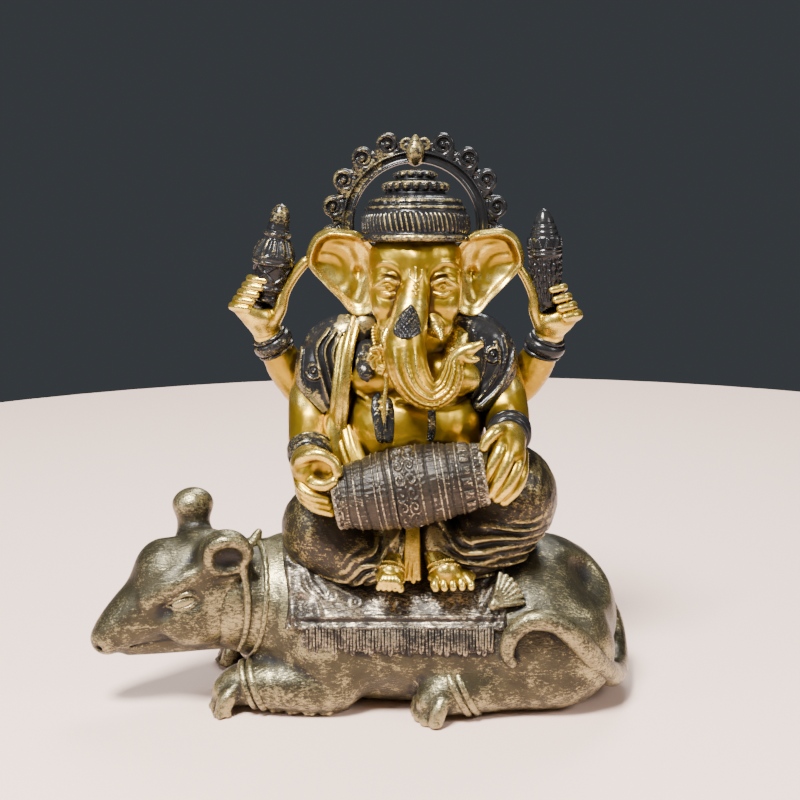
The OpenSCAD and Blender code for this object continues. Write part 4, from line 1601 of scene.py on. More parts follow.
    def build_cloth(self) -> None:
        """The saddle cloth as one draped sheet with thickness, its fringe, and a fan of pleats."""
        rows, columns = 230, 190
        x = np.linspace(self.cloth_from, self.cloth_to, rows)
        share = np.linspace(0, 1, columns)
        along, across = np.meshgrid(x, share, indexing="ij")
        edge = ease(np.minimum(along - self.cloth_from, self.cloth_to - along), 0.0, 0.5)
        relief = self.cloth_relief(along, across)
        wander = 0.5 * np.sin(0.7 * across * 20) * (1 - ease(along - self.cloth_from, 0.0, 4.0))
        top = self.saddle_points(along + wander, across,
                                 (self.cloth_height - 0.35 + relief) * edge + 0.1 * (1 - edge))
        under = self.saddle_points(along + wander, across, np.full_like(along, -0.5))
        loops = np.concatenate([top, under[:, ::-1]], axis=1)
        sheet = closed_grid(np.concatenate([loops[:1], loops, loops[-1:]]))
        self.put("saddle_cloth", outward(sheet), SILVER, leaf=-0.28)
        self.put("saddle_fringe", self.fringe(), SILVER, leaf=-0.25)
        fan_axes = np.stack([unit(np.array([0.72, 0.3, 0.6])), unit(np.array([-0.6, 0.25, 0.72])),
                             np.array([0.0, -1.0, 0.0])], 1)
        fan_at = np.array([18.6, -12.9, 17.6])
        pleats = Clay()
        for turn in np.linspace(-0.62, 0.62, 7):
            out = fan_axes @ np.array([math.cos(turn), math.sin(turn), 0.0])
            start, stop = fan_at, fan_at + out * 4.4
            pleats.add(Limb([(*start, 0.4), (*(start + out * 2.4 + (0, -0.3, 0)), 0.42), (*stop, 0.4)], 9),
                       0.05)
        pleats.add(ball(tuple(fan_at), 0.8), 0.3)
        fan = net(pleats, fan_at - 2.0, fan_at + (6.0, 4.0, 6.0), 0.16)
        self.put("saddle_tassel", fan, BRONZE, 0.05, ())

    def fringe(self) -> Surface:
        """Loops of twisted thread that hang from both hems, over a thin backing band.

        Returns:
            Loops and bands as one surface.
        """
        parts = []
        pitch = (self.cloth_to - self.cloth_from - 5.0) / self.fringe_loops
        drop = np.array([0.0, 0.3, 0.65, 0.9, 1.0, 0.9, 0.65, 0.3, 0.0])
        side = np.array([-1.0, -1.0, -0.95, -0.7, 0.0, 0.7, 0.95, 1.0, 1.0])
        band_x = np.linspace(self.cloth_from + 2.4, self.cloth_to - 1.6, 90)
        for hem in (0.0, 1.0):
            sign = 1.0 if hem == 0.0 else -1.0
            for i in range(self.fringe_loops):
                middle = self.cloth_from + 3.2 + pitch * (i + 0.5)
                long = 0.098 + 0.012 * math.sin(2.1 * i)
                x = middle + side * pitch * 0.27 + 0.1 * math.sin(1.7 * i) * drop
                rows = spline(np.stack([x, hem - sign * (drop * long - 0.012), np.zeros(9)], 1), 17)
                path = self.saddle_points(rows[:, 0], rows[:, 1], np.full(17, 0.46))
                parts.append(tube(path, np.full(17, 0.24), 7))
            down = np.linspace(0.02, -0.085, 10)
            along, across = np.meshgrid(band_x, hem + sign * down, indexing="ij")
            top = self.saddle_points(along, across, np.full_like(along, 0.28))
            under = self.saddle_points(along, across, np.full_like(along, -0.3))
            loops = np.concatenate([top, under[:, ::-1]], axis=1)
            parts.append(outward(closed_grid(np.concatenate([loops[:1], loops]))))
        return joined(parts)

    def build(self) -> None:
        """Builds every piece of the mouse."""
        self.build_body()
        self.build_trim()
        self.build_cloth()


def traced(points: Array, path: Sequence[Point], count: int = 25) -> Array:
    """Distance in the front view (x, z) from points to a smooth line drawn there.

    Args:
        points: places in millimetres.
        path: the line's x and z.
        count: how many short straight steps it is cut into.

    Returns:
        One distance for each point.
    """
    rows = spline(path, count) if len(path) > 2 else np.asarray(path, float)
    flat = points[..., [0, 2]]
    best = np.full(flat.shape[:-1], np.inf)
    for start, end in zip(rows[:-1], rows[1:]):
        step = end - start
        share = np.clip(((flat - start) @ step) / max(step @ step, 1e-12), 0, 1)
        best = np.minimum(best, np.linalg.norm(flat - start - share[..., None] * step, axis=-1))
    return best


@dataclass(frozen=True)
class Line:
    """A raised line (or a cut one, where height is negative) drawn on the front of a mass."""

    path: Sequence[Point]
    width: float = 0.3
    height: float = 0.25

    def relief(self, points: Array) -> Array:
        """Height above the skin: a bell across the line."""
        return self.height * hump(traced(points, self.path), 0.0, self.width)


def front_lines(lines: Sequence[Line], face_y: float, fade: float = 2.0) -> Callable[[Array], Array]:
    """Relief of several lines, fading out behind the plane y = face_y."""
    return lambda p: sum(line.relief(p) for line in lines) * ease(p[..., 1], face_y, face_y - fade)


def finger(joints: Sequence[Point], radius: float, tip: float = 0.8) -> Limb:
    """A finger through its joints, thicker at the knuckles and tapered to the tip."""
    rows = [(*joint, radius * (1 - (1 - tip) * i / (len(joints) - 1))) for i, joint in enumerate(joints)]
    return Limb(rows, 4 * (len(joints) - 1) + 1)


def mirrored(rows: Sequence[Point], side: float) -> list[tuple[float, ...]]:
    """Rows with x taken on the given side."""
    return [(side * row[0], *row[1:]) for row in rows]


@dataclass
class Lap(Sculpture):
    """Crossed legs in loose trousers, with the feet and their anklets."""

    step: float = 0.26
    toe_step: float = 0.15
    foot_lift: float = 0.8

    def right_leg(self) -> Shape:
        """The leg at the viewer's left: a round thigh and knee, with folds gathered at the ankle.

        Returns:
            The leg with its folds.
        """
        clay = Clay()
        clay.add(Limb([(-6, 1.5, 6, 6.4), (-12.7, -4.4, 6.7, 6.9)], 2))
        clay.add(Limb([(-12.3, -4.6, 5.8, 6.4), (-8.6, -8.2, 3.8, 4.6), (-4.9, -9.6, 2.8, 3.0)], 21), 1.4)
        clay.add(Limb([(-3.4, -7.6, 8.0, 2.4), (-2.9, -9.0, 6.2, 2.5), (-3.4, -9.7, 5.2, 2.3)], 9), 1.0)
        clay.carve(Slab((0, 0, -0.4), (0, 0, 1)), 0.4)

        def folds(p: Array) -> Array:
            """Uneven arcs round the knee on its lower inner side, and a double hem.

            Args:
                p: places in millimetres.

            Returns:
                Height above the smooth cloth.
            """
            x, z = p[..., 0], p[..., 2]
            away = np.hypot((x + 13.6) / 1.15, (z - 8.4) * 1.05) + 0.25 * np.sin(0.9 * x + 0.7 * z)
            where = ease(x, -12.6, -6.4) * ease(z, 8.2, 4.6) * ease(p[..., 1], 0, -4) * ease(away, 4.6, 6.2)
            phase = (away - 5.4) / 1.45 + 0.3 * np.sin(0.7 * x + 0.3 * z)
            arcs = where * (0.26 + 0.16 * np.sin(1.3 * away + 0.5 * x)) * np.cos(TAU * phase)
            hem = Line([(-18.6, 2.9), (-15.6, 0.9), (-11, 0.3), (-6.4, 0.9), (-4.4, 2.6)], 0.3,
                       0.32).relief(p)
            cuff = Line([(-5.8, 2.6), (-4.6, 3.6), (-2.8, 3.7), (-1.4, 4.4)], 0.3, 0.35).relief(p)
            fall = Line([(-1.6, 9.0), (-3.2, 7.0), (-4.6, 5.2), (-5.4, 3.4)], 0.3, 0.3).relief(p)
            fall = fall + Line([(-0.8, 7.6), (-2.0, 5.6), (-2.9, 3.6)], 0.28, 0.3).relief(p)
            return arcs + (hem + cuff + fall) * ease(p[..., 1], 0, -5) + 0.06 * ripple(p, 2.6, 4.0)

        return Wrinkled(clay, folds)

    def left_leg(self) -> Shape:
        """The leg at the viewer's right: the knee higher, folds sweeping from it to the ankle.

        Returns:
            The leg with its folds.
        """
        clay = Clay()
        clay.add(Limb([(6, 1.5, 7.8, 6.8), (13.3, -3.8, 11.7, 7.5)], 2))
        clay.add(Limb([(13.0, -4.2, 10.0, 7.2), (9.6, -8.0, 6.4, 5.0), (5.4, -9.2, 4.6, 3.4)], 21), 1.6)
        clay.add(Limb([(2.6, -7.6, 9.4, 2.4), (3.0, -9.0, 6.8, 2.6), (3.3, -9.7, 5.6, 2.4)], 9), 1.0)
        clay.add(Limb([(12.4, -5.6, 5.0, 4.2), (7.0, -9.0, 2.4, 2.4)], 9), 1.6)
        clay.carve(Slab((0, 0, -0.4), (0, 0, 1)), 0.4)

        def folds(p: Array) -> Array:
            """Uneven arcs round a point inside the knee, with a hem that falls from the waist.

            Args:
                p: places in millimetres.

            Returns:
                Height above the smooth cloth.
            """
            x, z = p[..., 0], p[..., 2]
            away = np.hypot((x - 13.6) / 1.5, z - 14.6) + 0.22 * np.sin(0.6 * x + 1.0)
            where = ease(away, 4.4, 6.2) * ease(z, 12.4, 8.0) * ease(p[..., 1], 1, -4)
            where = where * ease(x, 21.5, 16.0) * ease(x, 2.4, 5.6)
            phase = (away - 4.9) / 1.5 + 0.35 * np.sin(0.42 * x + 0.35 * z)
            arcs = where * (0.3 + 0.2 * np.sin(0.9 * away + 0.6 * x)) * np.cos(TAU * phase)
            hem = Line([(2.2, 11.4), (4.6, 7.8), (7.2, 4.8), (10.6, 3.0), (14.4, 2.8)], 0.3, 0.34).relief(p)
            hem2 = Line([(4.2, 11.6), (6.4, 8.2), (9.0, 5.9), (12.6, 4.4)], 0.26, 0.26).relief(p)
            cuff = Line([(1.2, 4.8), (2.8, 4.1), (4.8, 3.8), (6.6, 2.6)], 0.3, 0.35).relief(p)
            return arcs + (hem + hem2 + cuff) * ease(p[..., 1], 0, -5) + 0.06 * ripple(p, 2.6, 7.0)

        return Wrinkled(clay, folds)

    def sash_end(self) -> Clay:
        """The loose gold end of the sash that hangs between the feet in four narrow pleats.

        Returns:
            The pleats as one lump.
        """
        clay = Clay()
        for i, x in enumerate((-1.35, -0.8, -0.2, 0.35)):
            low = 0.9 + 0.4 * (i % 2)
            rows = [(0.6 * x, -9.8, 11.0, 0.4), (0.75 * x, -11.2, 7.6, 0.42), (x, -11.7, 4.2, 0.42),
                    (1.35 * x, -12.0, low, 0.4)]
            clay.add(Limb(rows, 17), 0.05)
        return clay

    def foot(self, side: float) -> Clay:
        """A bare foot; the right one points down and ahead, the left one turns out.

        Args:
            side: -1 for the right foot, 1 for the left.

        Returns:
            The foot with toes and nails.
        """
        clay = Clay()
        if side < 0:
            clay.add(Limb([(-3.6, -8.6, 5.6, 1.9), (-3.4, -10.4, 3.2, 1.8), (-3.5, -12.2, 1.6, 1.9)], 9))
            clay.add(Egg((-3.6, -12.9, 0.9), (2.1, 1.7, 1.1)), 0.6)
            for i in range(5):
                x = -2.1 - 0.78 * i
                root, tip = (0.3 * x - 2.5, -12.8, 1.9), (x, -14.6 + 0.14 * i, -0.15)
                bend = (0.5 * (root[0] + tip[0]), -14.4, 1.15)
                clay.add(Limb([(*root, 0.62), (*bend, 0.52), (*tip, 0.44 + 0.1 * (i == 0))], 9), 0.1)
                clay.add(Egg((x, -14.85 + 0.14 * i, -0.1), (0.36, 0.3, 0.34)), 0.06)
        else:
            clay.add(Limb([(3.2, -8.8, 5.4, 2.0), (3.2, -10.6, 3.3, 1.9), (4.4, -12.4, 1.8, 2.0)], 9))
            clay.add(Egg((5.2, -12.4, 0.9), (3.5, 1.9, 1.25), (0, 0, 6)), 0.6)
            for i in range(5):
                x = 2.7 + 1.26 * i
                length = 14.75 - 0.16 * i
                clay.add(Limb([(x * 0.7 + 1.5, -12.9, 1.3, 0.7), (x, -length + 0.4, 0.55, 0.62),
                               (x + 0.15, -length, 0.0, 0.52)], 9), 0.1)
                clay.add(Egg((x + 0.15, -length - 0.18, 0.12), (0.42, 0.36, 0.36)), 0.05)
        return clay

    def build(self) -> None:
        """Both legs, both feet and the anklets."""
        leg = self.right_leg()
        surface = net(leg, (-20.6, -14.5, -0.6), (0.8, 8.5, 14.6), self.step)
        self.put("right_leg", surface, TROUSER, lambda p: 0.06 * ease(p[:, 2], 9, 13))
        leg = self.left_leg()
        surface = net(leg, (-0.8, -14.5, -0.6), (21.8, 8.8, 20.2), self.step)
        self.put("left_leg", surface, TROUSER, lambda p: 0.06 * ease(p[:, 2], 12, 17))
        on_cloth = np.array([0.0, -0.2, self.foot_lift])
        for side, name, low, high in ((-1.0, "right_foot", -6.6, -1.2), (1.0, "left_foot", 0.6, 9.6)):
            surface = net(self.foot(side), (low, -16, -1), (high, -6.6, 7.8), self.toe_step)
            self.put(name, moved(surface, on_cloth), GOLD)
        surface = net(self.sash_end(), (-2.4, -13.4, 0.2), (2.4, -8.8, 12), 0.18)
        self.put("sash_end", surface, GOLD, -0.12, ())

        def pearls(around: Array, section: Array) -> Array:
            """Twenty-four beads round the ring."""
            return 0.2 * np.cos(24 * around)

        beads = []
        for side in (-1.0, 1.0):
            for row in range(2):
                centre = np.array([side * 3.4, -12.3 - 0.6 * row, 2.9 - 0.5 * row])
                axis = (side * 0.2, -0.8, -1.0)
                beads.append(hoop(centre, axis, 2.0, 0.2, 0.2, 150, pearls, self.foot(side)))
        self.put("foot_anklets", moved(joined(beads), on_cloth), GOLD)


@dataclass
class Body(Sculpture):
    """Belly and chest with the scarf, pendants, necklace and brooch."""

    step: float = 0.26

    def flesh(self) -> Clay:
        """A round belly, a heavy chest and the neck.

        Returns:
            The bare body, which the bands and beads are laid on.
        """
        clay = Clay()
        clay.add(Egg((0, 0.4, 12), (10.8, 7.8, 7)))
        clay.add(Egg((-0.2, -2.4, 21.4), (10.4, 8.4, 8.6)), 2.5)
        clay.add(Egg((0, -0.4, 29.2), (10.6, 6.2, 6.4)), 2.0)
        clay.add(Egg((0, -0.8, 35.2), (6.6, 4.8, 3.4)), 1.6)
        for side in (-1.0, 1.0):
            clay.add(Egg((side * 4.9, -5.2, 29.6), (4.6, 2.9, 3.1), (0, side * 12, 0)), 0.7)
        clay.carve(Egg((0, 7.4, 26), (0.8, 1.6, 12)), 1.6)
        clay.carve(Egg((0.3, -11.2, 17.2), (0.7, 1.2, 0.5)), 0.4)
        return clay

    def dressed(self) -> Shape:
        """The flesh with scarf ends, the fold under the chest and the belt of skin at the waist.

        Returns:
            The body with everything that is cast in one with it.
        """
        clay = self.flesh()
        strip = [(-8.9, -2.2, 37.4, 0.6), (-9.9, -5.2, 33.4, 0.65), (-10.5, -6.5, 28.6, 0.7),
                 (-10.9, -6.6, 24.0, 0.8),
                 (-11.3, -6.0, 19.6, 0.9)]
        clay.add(Limb(strip, 29), 0.3)
        clay.add(Limb([(x + 0.85, y - 0.15, z, 0.36) for x, y, z, _ in strip], 29), 0.2)
        clay.add(Limb([(x - 0.9, y + 0.5, z, 0.55) for x, y, z, _ in strip], 29), 0.3)
        clay.add(Limb([(-10.6, -3.6, 26.0, 1.6), (-11.8, -5.4, 21.6, 1.9), (-11.6, -6.6, 17.6, 1.9)], 9),
                 0.6)
        lines = [
            Line([(-8.4, 27.2), (-6.4, 26.4), (-4.4, 26.6)], 0.32, 0.42),
            Line([(-8.2, 26.3), (-6.4, 25.5), (-4.6, 25.7)], 0.3, 0.3),
            Line([(8.0, 26.9), (5.6, 25.8), (2.4, 25.9), (-2.4, 26.2)], 0.42, -0.35),
            Line([(-8.6, 16.4), (-3, 14.8), (4, 15), (8.6, 17)], 0.4, -0.25),
        ]
        return Wrinkled(clay, lambda p: front_lines(lines, -3.0)(p) + 0.04 * ripple(p, 4.2, 2.0))

    def strip(self, rows: Sequence[Point], width: float, grains: bool, lift: float = 0.25) -> Surface:
        """A narrow raised band that lies on the flesh, with rows of small grains.

        Args:
            rows: front-view points x, z of its middle.
            width: half its width.
            grains: whether it's covered in grains.
            lift: how far it stands proud.

        Returns:
            A closed surface.
        """
        line = spline(rows, 60)
        start = np.stack([line[:, 0], np.full(60, 0.0), line[:, 1]], 1)
        away = np.repeat(np.array([[0.0, -1.0, 0.0]]), 60, 0)
        depth = ray_length(self.flesh(), start, away, 16.0)
        path = start - np.stack([np.zeros(60), depth + lift - 0.35, np.zeros(60)], 1)
        taper = np.sqrt(np.clip(1 - np.abs(np.linspace(-1, 1, 60)) ** 5, 0.05, 1))
        surface = tube(path, width * taper, 36, None, 0.62)
        if grains:
            vertices, faces = surface
            cell = 0.5
            x, z = vertices[:, 0], vertices[:, 2]
            bumps = np.sin(x * TAU / cell + 2 * np.sin(3 * z)) * np.sin(z * TAU / cell)
            vertices = vertices.copy()
            vertices[:, 1] -= 0.16 * np.clip(bumps, -0.3, 1)
            surface = vertices, faces
        return surface

    def beads(self, rows: Sequence[Point], radius: float, count: int, lift: float = 0.1) -> list[Surface]:
        """A string of round beads lying on the chest, from front-view points.

        Args:
            rows: front-view points x, z.
            radius: of each bead.
            count: how many.
            lift: how far the centres stand proud of the skin.

        Returns:
            The beads.
        """
        line = spline(rows, count)
        start = np.stack([line[:, 0], np.zeros(count), line[:, 1]], 1)
        depth = ray_length(self.flesh(), start, np.repeat(np.array([[0.0, -1.0, 0.0]]), count, 0), 16.0)
        seed = pearl(radius)
        return [(seed[0] + (x, -(d + lift), z), seed[1]) for (x, _, z), d in zip(start, depth)]

    def build(self) -> None:
        """Torso, sash, necklace, pendants and brooch."""
        surface = net(self.dressed(), (-14.2, -12, 4.6), (12.6, 9, 39), self.step)
        self.put("torso", surface, GOLD)
        self.sash()
        bands = [
            self.strip([(-4.2, 38.2), (-4.8, 36.0), (-4.4, 33.4), (-3.6, 31.0)], 0.75, True, 0.75),
            self.strip([(7.0, 38.2), (6.6, 36.2), (5.9, 33.6), (4.9, 31.0), (3.8, 29.4)], 1.6, True, 1.15),
        ]
        beads = self.beads([(6.6, 38.0), (6.0, 35.6), (5.2, 32.8), (3.8, 30.0), (2.0, 28.2)], 0.36, 22, 0.3)
        beads += self.beads([(-5.6, 37.8), (-6.1, 35.4), (-5.7, 33.0)], 0.36, 12, 0.3)
        self.put("necklace", joined([*bands, *beads]), GOLD)
        pods = [
            self.strip([(-5.3, 27.6), (-5.5, 25.2), (-5.0, 22.4), (-4.7, 20.8)], 0.85, True, 0.35),
            self.strip([(-3.9, 27.0), (-3.7, 24.6), (-3.8, 22.0), (-4.1, 20.9)], 0.8, False, 0.4),
            self.strip([(2.2, 26.4), (2.3, 24.4), (2.2, 22.2), (1.9, 21.2)], 0.6, True, 0.25),
            self.strip([(0.7, 24.6), (0.8, 23.7)], 0.22, False, 0.15),
            self.strip([(-7.0, 38.0), (-7.3, 35.2), (-7.3, 32.4), (-6.8, 29.6)], 1.3, True, 1.7),
            self.strip([(7.7, 36.4), (7.5, 34.6), (7.2, 33.0)], 0.7, False, 0.6),
        ]
        self.put("belly_pendants", joined(pods), BLACK, leaf=-0.22)
        self.brooch()

    def sash(self) -> None:
        """A rolled waist cloth with its loose end at the idol's right."""
        clay = Clay()
        loops = [(-10.4, -1.6, 16.4), (-9.4, -6.0, 16.6), (-6.2, -9.4, 15.6), (0, -11.2, 14.6),
                 (6.2, -9.2, 15.6),
                 (9.8, -5.6, 16.8), (10.8, -1.4, 16.6)]
        clay.add(Limb([(*p, 0.95) for p in loops], 25))
        clay.add(Limb([(p[0], p[1] - 0.1, p[2] - 1.2, 0.9) for p in loops], 25), 0.25)
        for i, (x, z) in enumerate(((-10.6, 19.6), (-9.7, 20.0), (-8.8, 19.8), (-7.9, 19.0))):
            rows = [(x - 0.8, -5.4 - 0.5 * i, z + 2.6, 0.35), (x, -7.4 - 0.45 * i, z, 0.6),
                    (x + 1.2, -9.0 - 0.35 * i, z - 2.6, 0.62),
                    (x + 3.0, -10.6 - 0.2 * i, z - 4.8, 0.5)]
            clay.add(Limb(rows, 13), 0.2)
        surface = net(clay, (-12.6, -13, 11), (12.6, 2.0, 23.5), 0.24)
        self.put("waist_sash", surface, GOLD, -0.2, slot=Slot.SILVER)

    def brooch(self) -> None:
        """A gathered gold flower with curled petals, a bud and its stem."""
        x0, y0, z0 = -5.0, -10.1, 33.2
        clay = Clay().add(Egg((x0, y0 + 0.5, z0), (1.0, 0.9, 1.0)))
        for i in range(7):
            a = i * TAU / 7
            out = (x0 + 1.15 * math.cos(a), y0 - 0.1, z0 + 1.15 * math.sin(a))
            tip = (x0 + 1.65 * math.cos(a + 0.6), y0 - 0.5, z0 + 1.65 * math.sin(a + 0.6))
            clay.add(Limb([(x0, y0, z0, 0.35), (*out, 0.5), (*tip, 0.33)], 7), 0.1)
        clay.carve(ball((x0, y0 - 0.95, z0), 0.42), 0.12)
        clay.add(ball((x0 + 0.1, y0 - 0.7, z0), 0.26), 0.05)
        clay.add(Egg((x0 + 1.5, y0 - 0.4, z0 - 2.2), (0.75, 0.6, 0.55)), 0.15)
        clay.add(Egg((x0 + 0.2, y0 - 0.2, z0 - 2.0), (0.6, 0.5, 0.6)), 0.15)
        stem = [(x0 + 0.7, y0, z0 - 1.2, 0.34), (x0 + 0.9, y0 - 0.4, z0 - 3.6, 0.32),
                (x0 + 0.6, y0 - 0.9, z0 - 6.2, 0.3),
                (x0 + 0.55, y0 - 1.3, z0 - 9.0, 0.2)]
        clay.add(Limb(stem, 17), 0.15)
        surface = net(clay, (-8, -12.6, 23), (-2, -7.5, 35.8), 0.13)
        self.put("flower_brooch", surface, GOLD)


def pearl(radius: float, rings: int = 6, columns: int = 8) -> Surface:
    """A small round bead: a half circle spun about Z."""
    tilt = np.linspace(-math.pi / 2, math.pi / 2, rings)
    return turned_profile(radius * np.stack([np.cos(tilt), np.sin(tilt)], 1), columns)


@dataclass
class Arms(Sculpture):
    """Four arms with hands, bracelets, the two shoulder capes, the vase and the mace."""

    step: float = 0.26
    hand_step: float = 0.15

    right_front: Sequence[Point] = (
        (-12.2, 0.6, 30.6, 4.0), (-14.6, -0.8, 26, 3.75), (-15.0, -3.2, 21.8, 3.5),
        (-15.2, -7.2, 19.4, 2.9), (-14.9, -10.4, 18.7, 2.2))
    left_front: Sequence[Point] = (
        (10.6, 0.6, 30.6, 4.2), (12.6, -0.8, 26.4, 3.6), (13.2, -3.6, 23.0, 3.4), (13.3, -7.4, 21.9, 2.9),
        (13.0, -10.4, 21.9, 2.2))
    right_rear: Sequence[Point] = (
        (-10.5, 3.6, 30, 3), (-15.2, 4.2, 25.4, 3.1), (-18.4, 3.2, 28.2, 2.9), (-20.4, 1.8, 32.2, 2.45),
        (-21.8, 0.8, 35.2, 2.1))
    left_rear: Sequence[Point] = (
        (10.5, 3.6, 30, 3), (14.2, 4.2, 26.0, 3.1), (17.0, 3.2, 28.4, 2.9), (18.8, 1.8, 32.0, 2.45),
        (19.8, 0.8, 35.0, 2.1))
    front_bands: Sequence[Point] = ((0.0, 1.15, 0.6), (1.25, 0.3, 0.42), (-1.25, 0.3, 0.42))
    rear_bands: Sequence[Point] = ((0.0, 1.0, 0.72), (1.25, 0.35, 0.4), (-1.2, 0.35, 0.4))

    def build(self) -> None:
        """Arms, then hands, bracelets, capes and what is held."""
        for name, rows in (("right_front_arm", self.right_front), ("left_front_arm", self.left_front),
                           ("right_rear_arm", self.right_rear), ("left_rear_arm", self.left_rear)):
            limb = Limb(rows, 29)
            form = Wrinkled(Clay().add(limb), lambda p: 0.05 * ripple(p, 3.6, 5.0))
            low, high = limb.box()
            self.put(name, net(form, low, high, self.step), GOLD)
        self.hands()
        self.bracelets()
        self.capes()
        self.vase()
        self.mace()

    def hands(self) -> None:
        """Each hand is a palm with fingers through chosen joints."""
        right = Clay()
        right.add(Limb([(-14.9, -9.8, 18.8, 2.3), (-15.2, -12.4, 18.2, 2.5), (-15.0, -14.0, 17.4, 1.9)],
                       17))
        right.add(Egg((-13.7, -14.7, 18.0), (2.9, 1.3, 2.7), (0, -14, 0)), 0.7)
        right.carve(Egg((-12.9, -16.3, 18.3), (1.6, 0.9, 1.5)), 0.5)
        right.add(finger([(-16.2, -13.8, 18.4), (-15.2, -15.6, 20.3), (-13.1, -16.4, 20.7),
                          (-11.3, -16.6, 19.6), (-10.8, -16.8, 18.2)], 1.0, 0.7), 0.4)
        right.add(finger([(-15.4, -13.6, 16.4), (-14.2, -15.9, 16.5), (-12.6, -16.7, 16.4),
                          (-11.4, -16.9, 17.0)], 1.05, 0.72), 0.4)
        for i in range(3):
            drop = 1.15 * i
            chain = [(-16.4 + 0.15 * i, -13.2, 17.0 - drop), (-15.9 + 0.3 * i, -15.2, 15.7 - 0.8 * drop),
                     (-14.4 + 0.35 * i, -16.2, 14.8 - 0.8 * drop),
                     (-12.4 + 0.3 * i, -16.2, 14.2 - 0.8 * drop)]
            right.add(finger(chain, 0.95, 0.72), 0.16)
        self.hand("right_front_hand", right)
        left = Clay()
        left.add(Limb([(13.0, -9.8, 21.9, 2.2), (13.0, -12.4, 21.6, 2.5), (12.6, -14.2, 20.4, 2.2)], 17))
        left.add(Egg((12.6, -14.4, 19.4), (2.6, 1.7, 3.2), (0, 18, 0)), 0.9)
        chains = (
            [(12.2, -13.4, 22.6), (11.6, -15.8, 21.2), (10.4, -16.7, 19.0), (9.4, -16.6, 16.9)],
            [(13.2, -13.4, 22.0), (12.8, -15.9, 20.2), (11.6, -16.9, 17.6), (10.3, -16.8, 15.3)],
            [(14.2, -13.0, 21.0), (14.0, -15.5, 18.8), (12.8, -16.6, 16.4), (11.3, -16.6, 14.6)],
            [(14.8, -12.4, 19.8), (14.7, -14.8, 17.6), (13.8, -15.9, 15.6), (12.3, -16.1, 14.0)],
        )
        for chain in chains:
            left.add(finger(chain, 1.08, 0.72), 0.2)
        left.add(finger([(12.2, -12.4, 23.0), (11.2, -14.6, 23.6), (10.0, -15.6, 22.8), (9.4, -15.8, 21.6)],
                        1.05, 0.72), 0.35)
        self.hand("left_front_hand", left)
        rear = Clay()
        rear.add(Limb([(-21.8, 0.7, 35.4, 2.1), (-22.6, 0.2, 37.2, 2.4)], 5))
        rear.add(Egg((-23.6, -0.2, 38.0), (3.5, 2.3, 1.9), (0, 34, 0)), 0.8)
        rear.carve(Egg((-22.2, -0.9, 40.6), (2.3, 2.0, 2.1)), 0.5)
        for i in range(5):
            x, z = -26.6 + 0.66 * i, 38.9 + 1.0 * i
            rear.add(finger([(x + 0.9, 0.9, z - 0.7), (x, -0.2, z), (x + 0.8, -1.6, z + 0.1),
                             (x + 2.4, -2.1, z - 0.1)], 0.66, 0.8), 0.1)
        rear.add(finger([(-20.6, -0.4, 36.6), (-19.6, -0.9, 38.6), (-19.0, -0.8, 41.0), (-17.6, -0.6, 43.4),
                         (-15.9, -0.6, 45.4)], 1.0, 0.75), 0.6)
        self.hand("right_rear_hand", rear)
        rear = Clay()
        rear.add(Limb([(19.8, 0.7, 35.2, 2.1), (20.4, 0.2, 36.6, 2.3)], 5))
        rear.add(Egg((20.8, -0.2, 37.0), (3.0, 2.3, 2.0), (0, -18, 0)), 0.8)
        rear.carve(Egg((19.2, -0.9, 39.8), (2.1, 2.0, 2.0)), 0.5)
        for i, (x, z) in enumerate(((23.4, 37.6), (22.7, 38.9), (22.0, 40.2), (21.4, 41.6))):
            size = 0.86 - 0.09 * i
            rear.add(finger([(x - 0.9, 1.0, z - 0.9), (x + 0.2, -0.2, z), (x - 0.3, -1.7, z + 0.2),
                             (x - 1.7, -2.1, z - 0.1)], size, 0.85), 0.1)
        rear.add(finger([(18.1, -0.3, 36.2), (17.3, -0.7, 38.4), (17.2, -0.7, 40.4), (16.4, -0.6, 42.4),
                         (15.2, -0.5, 44.4)], 0.85, 0.75), 0.5)
        self.hand("left_rear_hand", rear)

    def hand(self, name: str, clay: Clay) -> None:
        """Closes one hand and hangs it on the frame.

        Args:
            name: the piece's name.
            clay: the palm with its fingers.
        """
        boxes = [shape.box() for shape, _, adds in clay.moves if adds]
        low, high = np.min([b[0] for b in boxes], 0), np.max([b[1] for b in boxes], 0)
        self.put(name, net(clay, low, high, self.hand_step), GOLD)

    def bracelets(self) -> None:
        """Thick bands round the wrists, following the arm's own section."""
        front = [
            *self.band(self.right_front, (0.12, -0.8, -0.5), (-15.2, -8.6, 19.1), 2.8, self.front_bands),
            *self.band(self.left_front, (0.1, -0.95, -0.1), (13.2, -8.9, 21.9), 2.8, self.front_bands),
        ]
        self.put("front_bracelets", joined(front), BLACK, lambda p: -0.16 - 0.2 * ease(p[:, 0], -2.0, 2.0))
        rear = [
            *self.band(self.right_rear, (-0.45, -0.25, 0.85), (-20.9, 1.5, 33.3), 2.6, self.rear_bands),
            *self.band(self.left_rear, (0.28, -0.25, 0.92), (19.0, 1.6, 33.0), 2.6, self.rear_bands),
        ]
        self.put("rear_bracelets", joined(rear), BLACK, lambda p: np.where(p[:, 0] < 0, -0.18, -0.45))

    @staticmethod
    def band(
        rows: Sequence[Point], axis: Point, centre: Point, radius: float, hoops: Sequence[Point]
    ) -> list[Surface]:
        """One bracelet: a thick hoop between two thin ones.

        Args:
            rows: the arm's path with radii.
            axis: which way the wrist runs.
            centre: middle of the bracelet.
            radius: rough radius of the wrist.
            hoops: each hoop's shift along the axis, half width and half height.

        Returns:
            The hoops as closed surfaces.
        """
        limb, ahead = Limb(rows, 29), unit(np.asarray(axis, float))
        middle = np.asarray(centre, float)
        return [hoop(middle + ahead * shift, axis, radius, half, high, 80, None, limb) for shift, half,
                high in hoops]

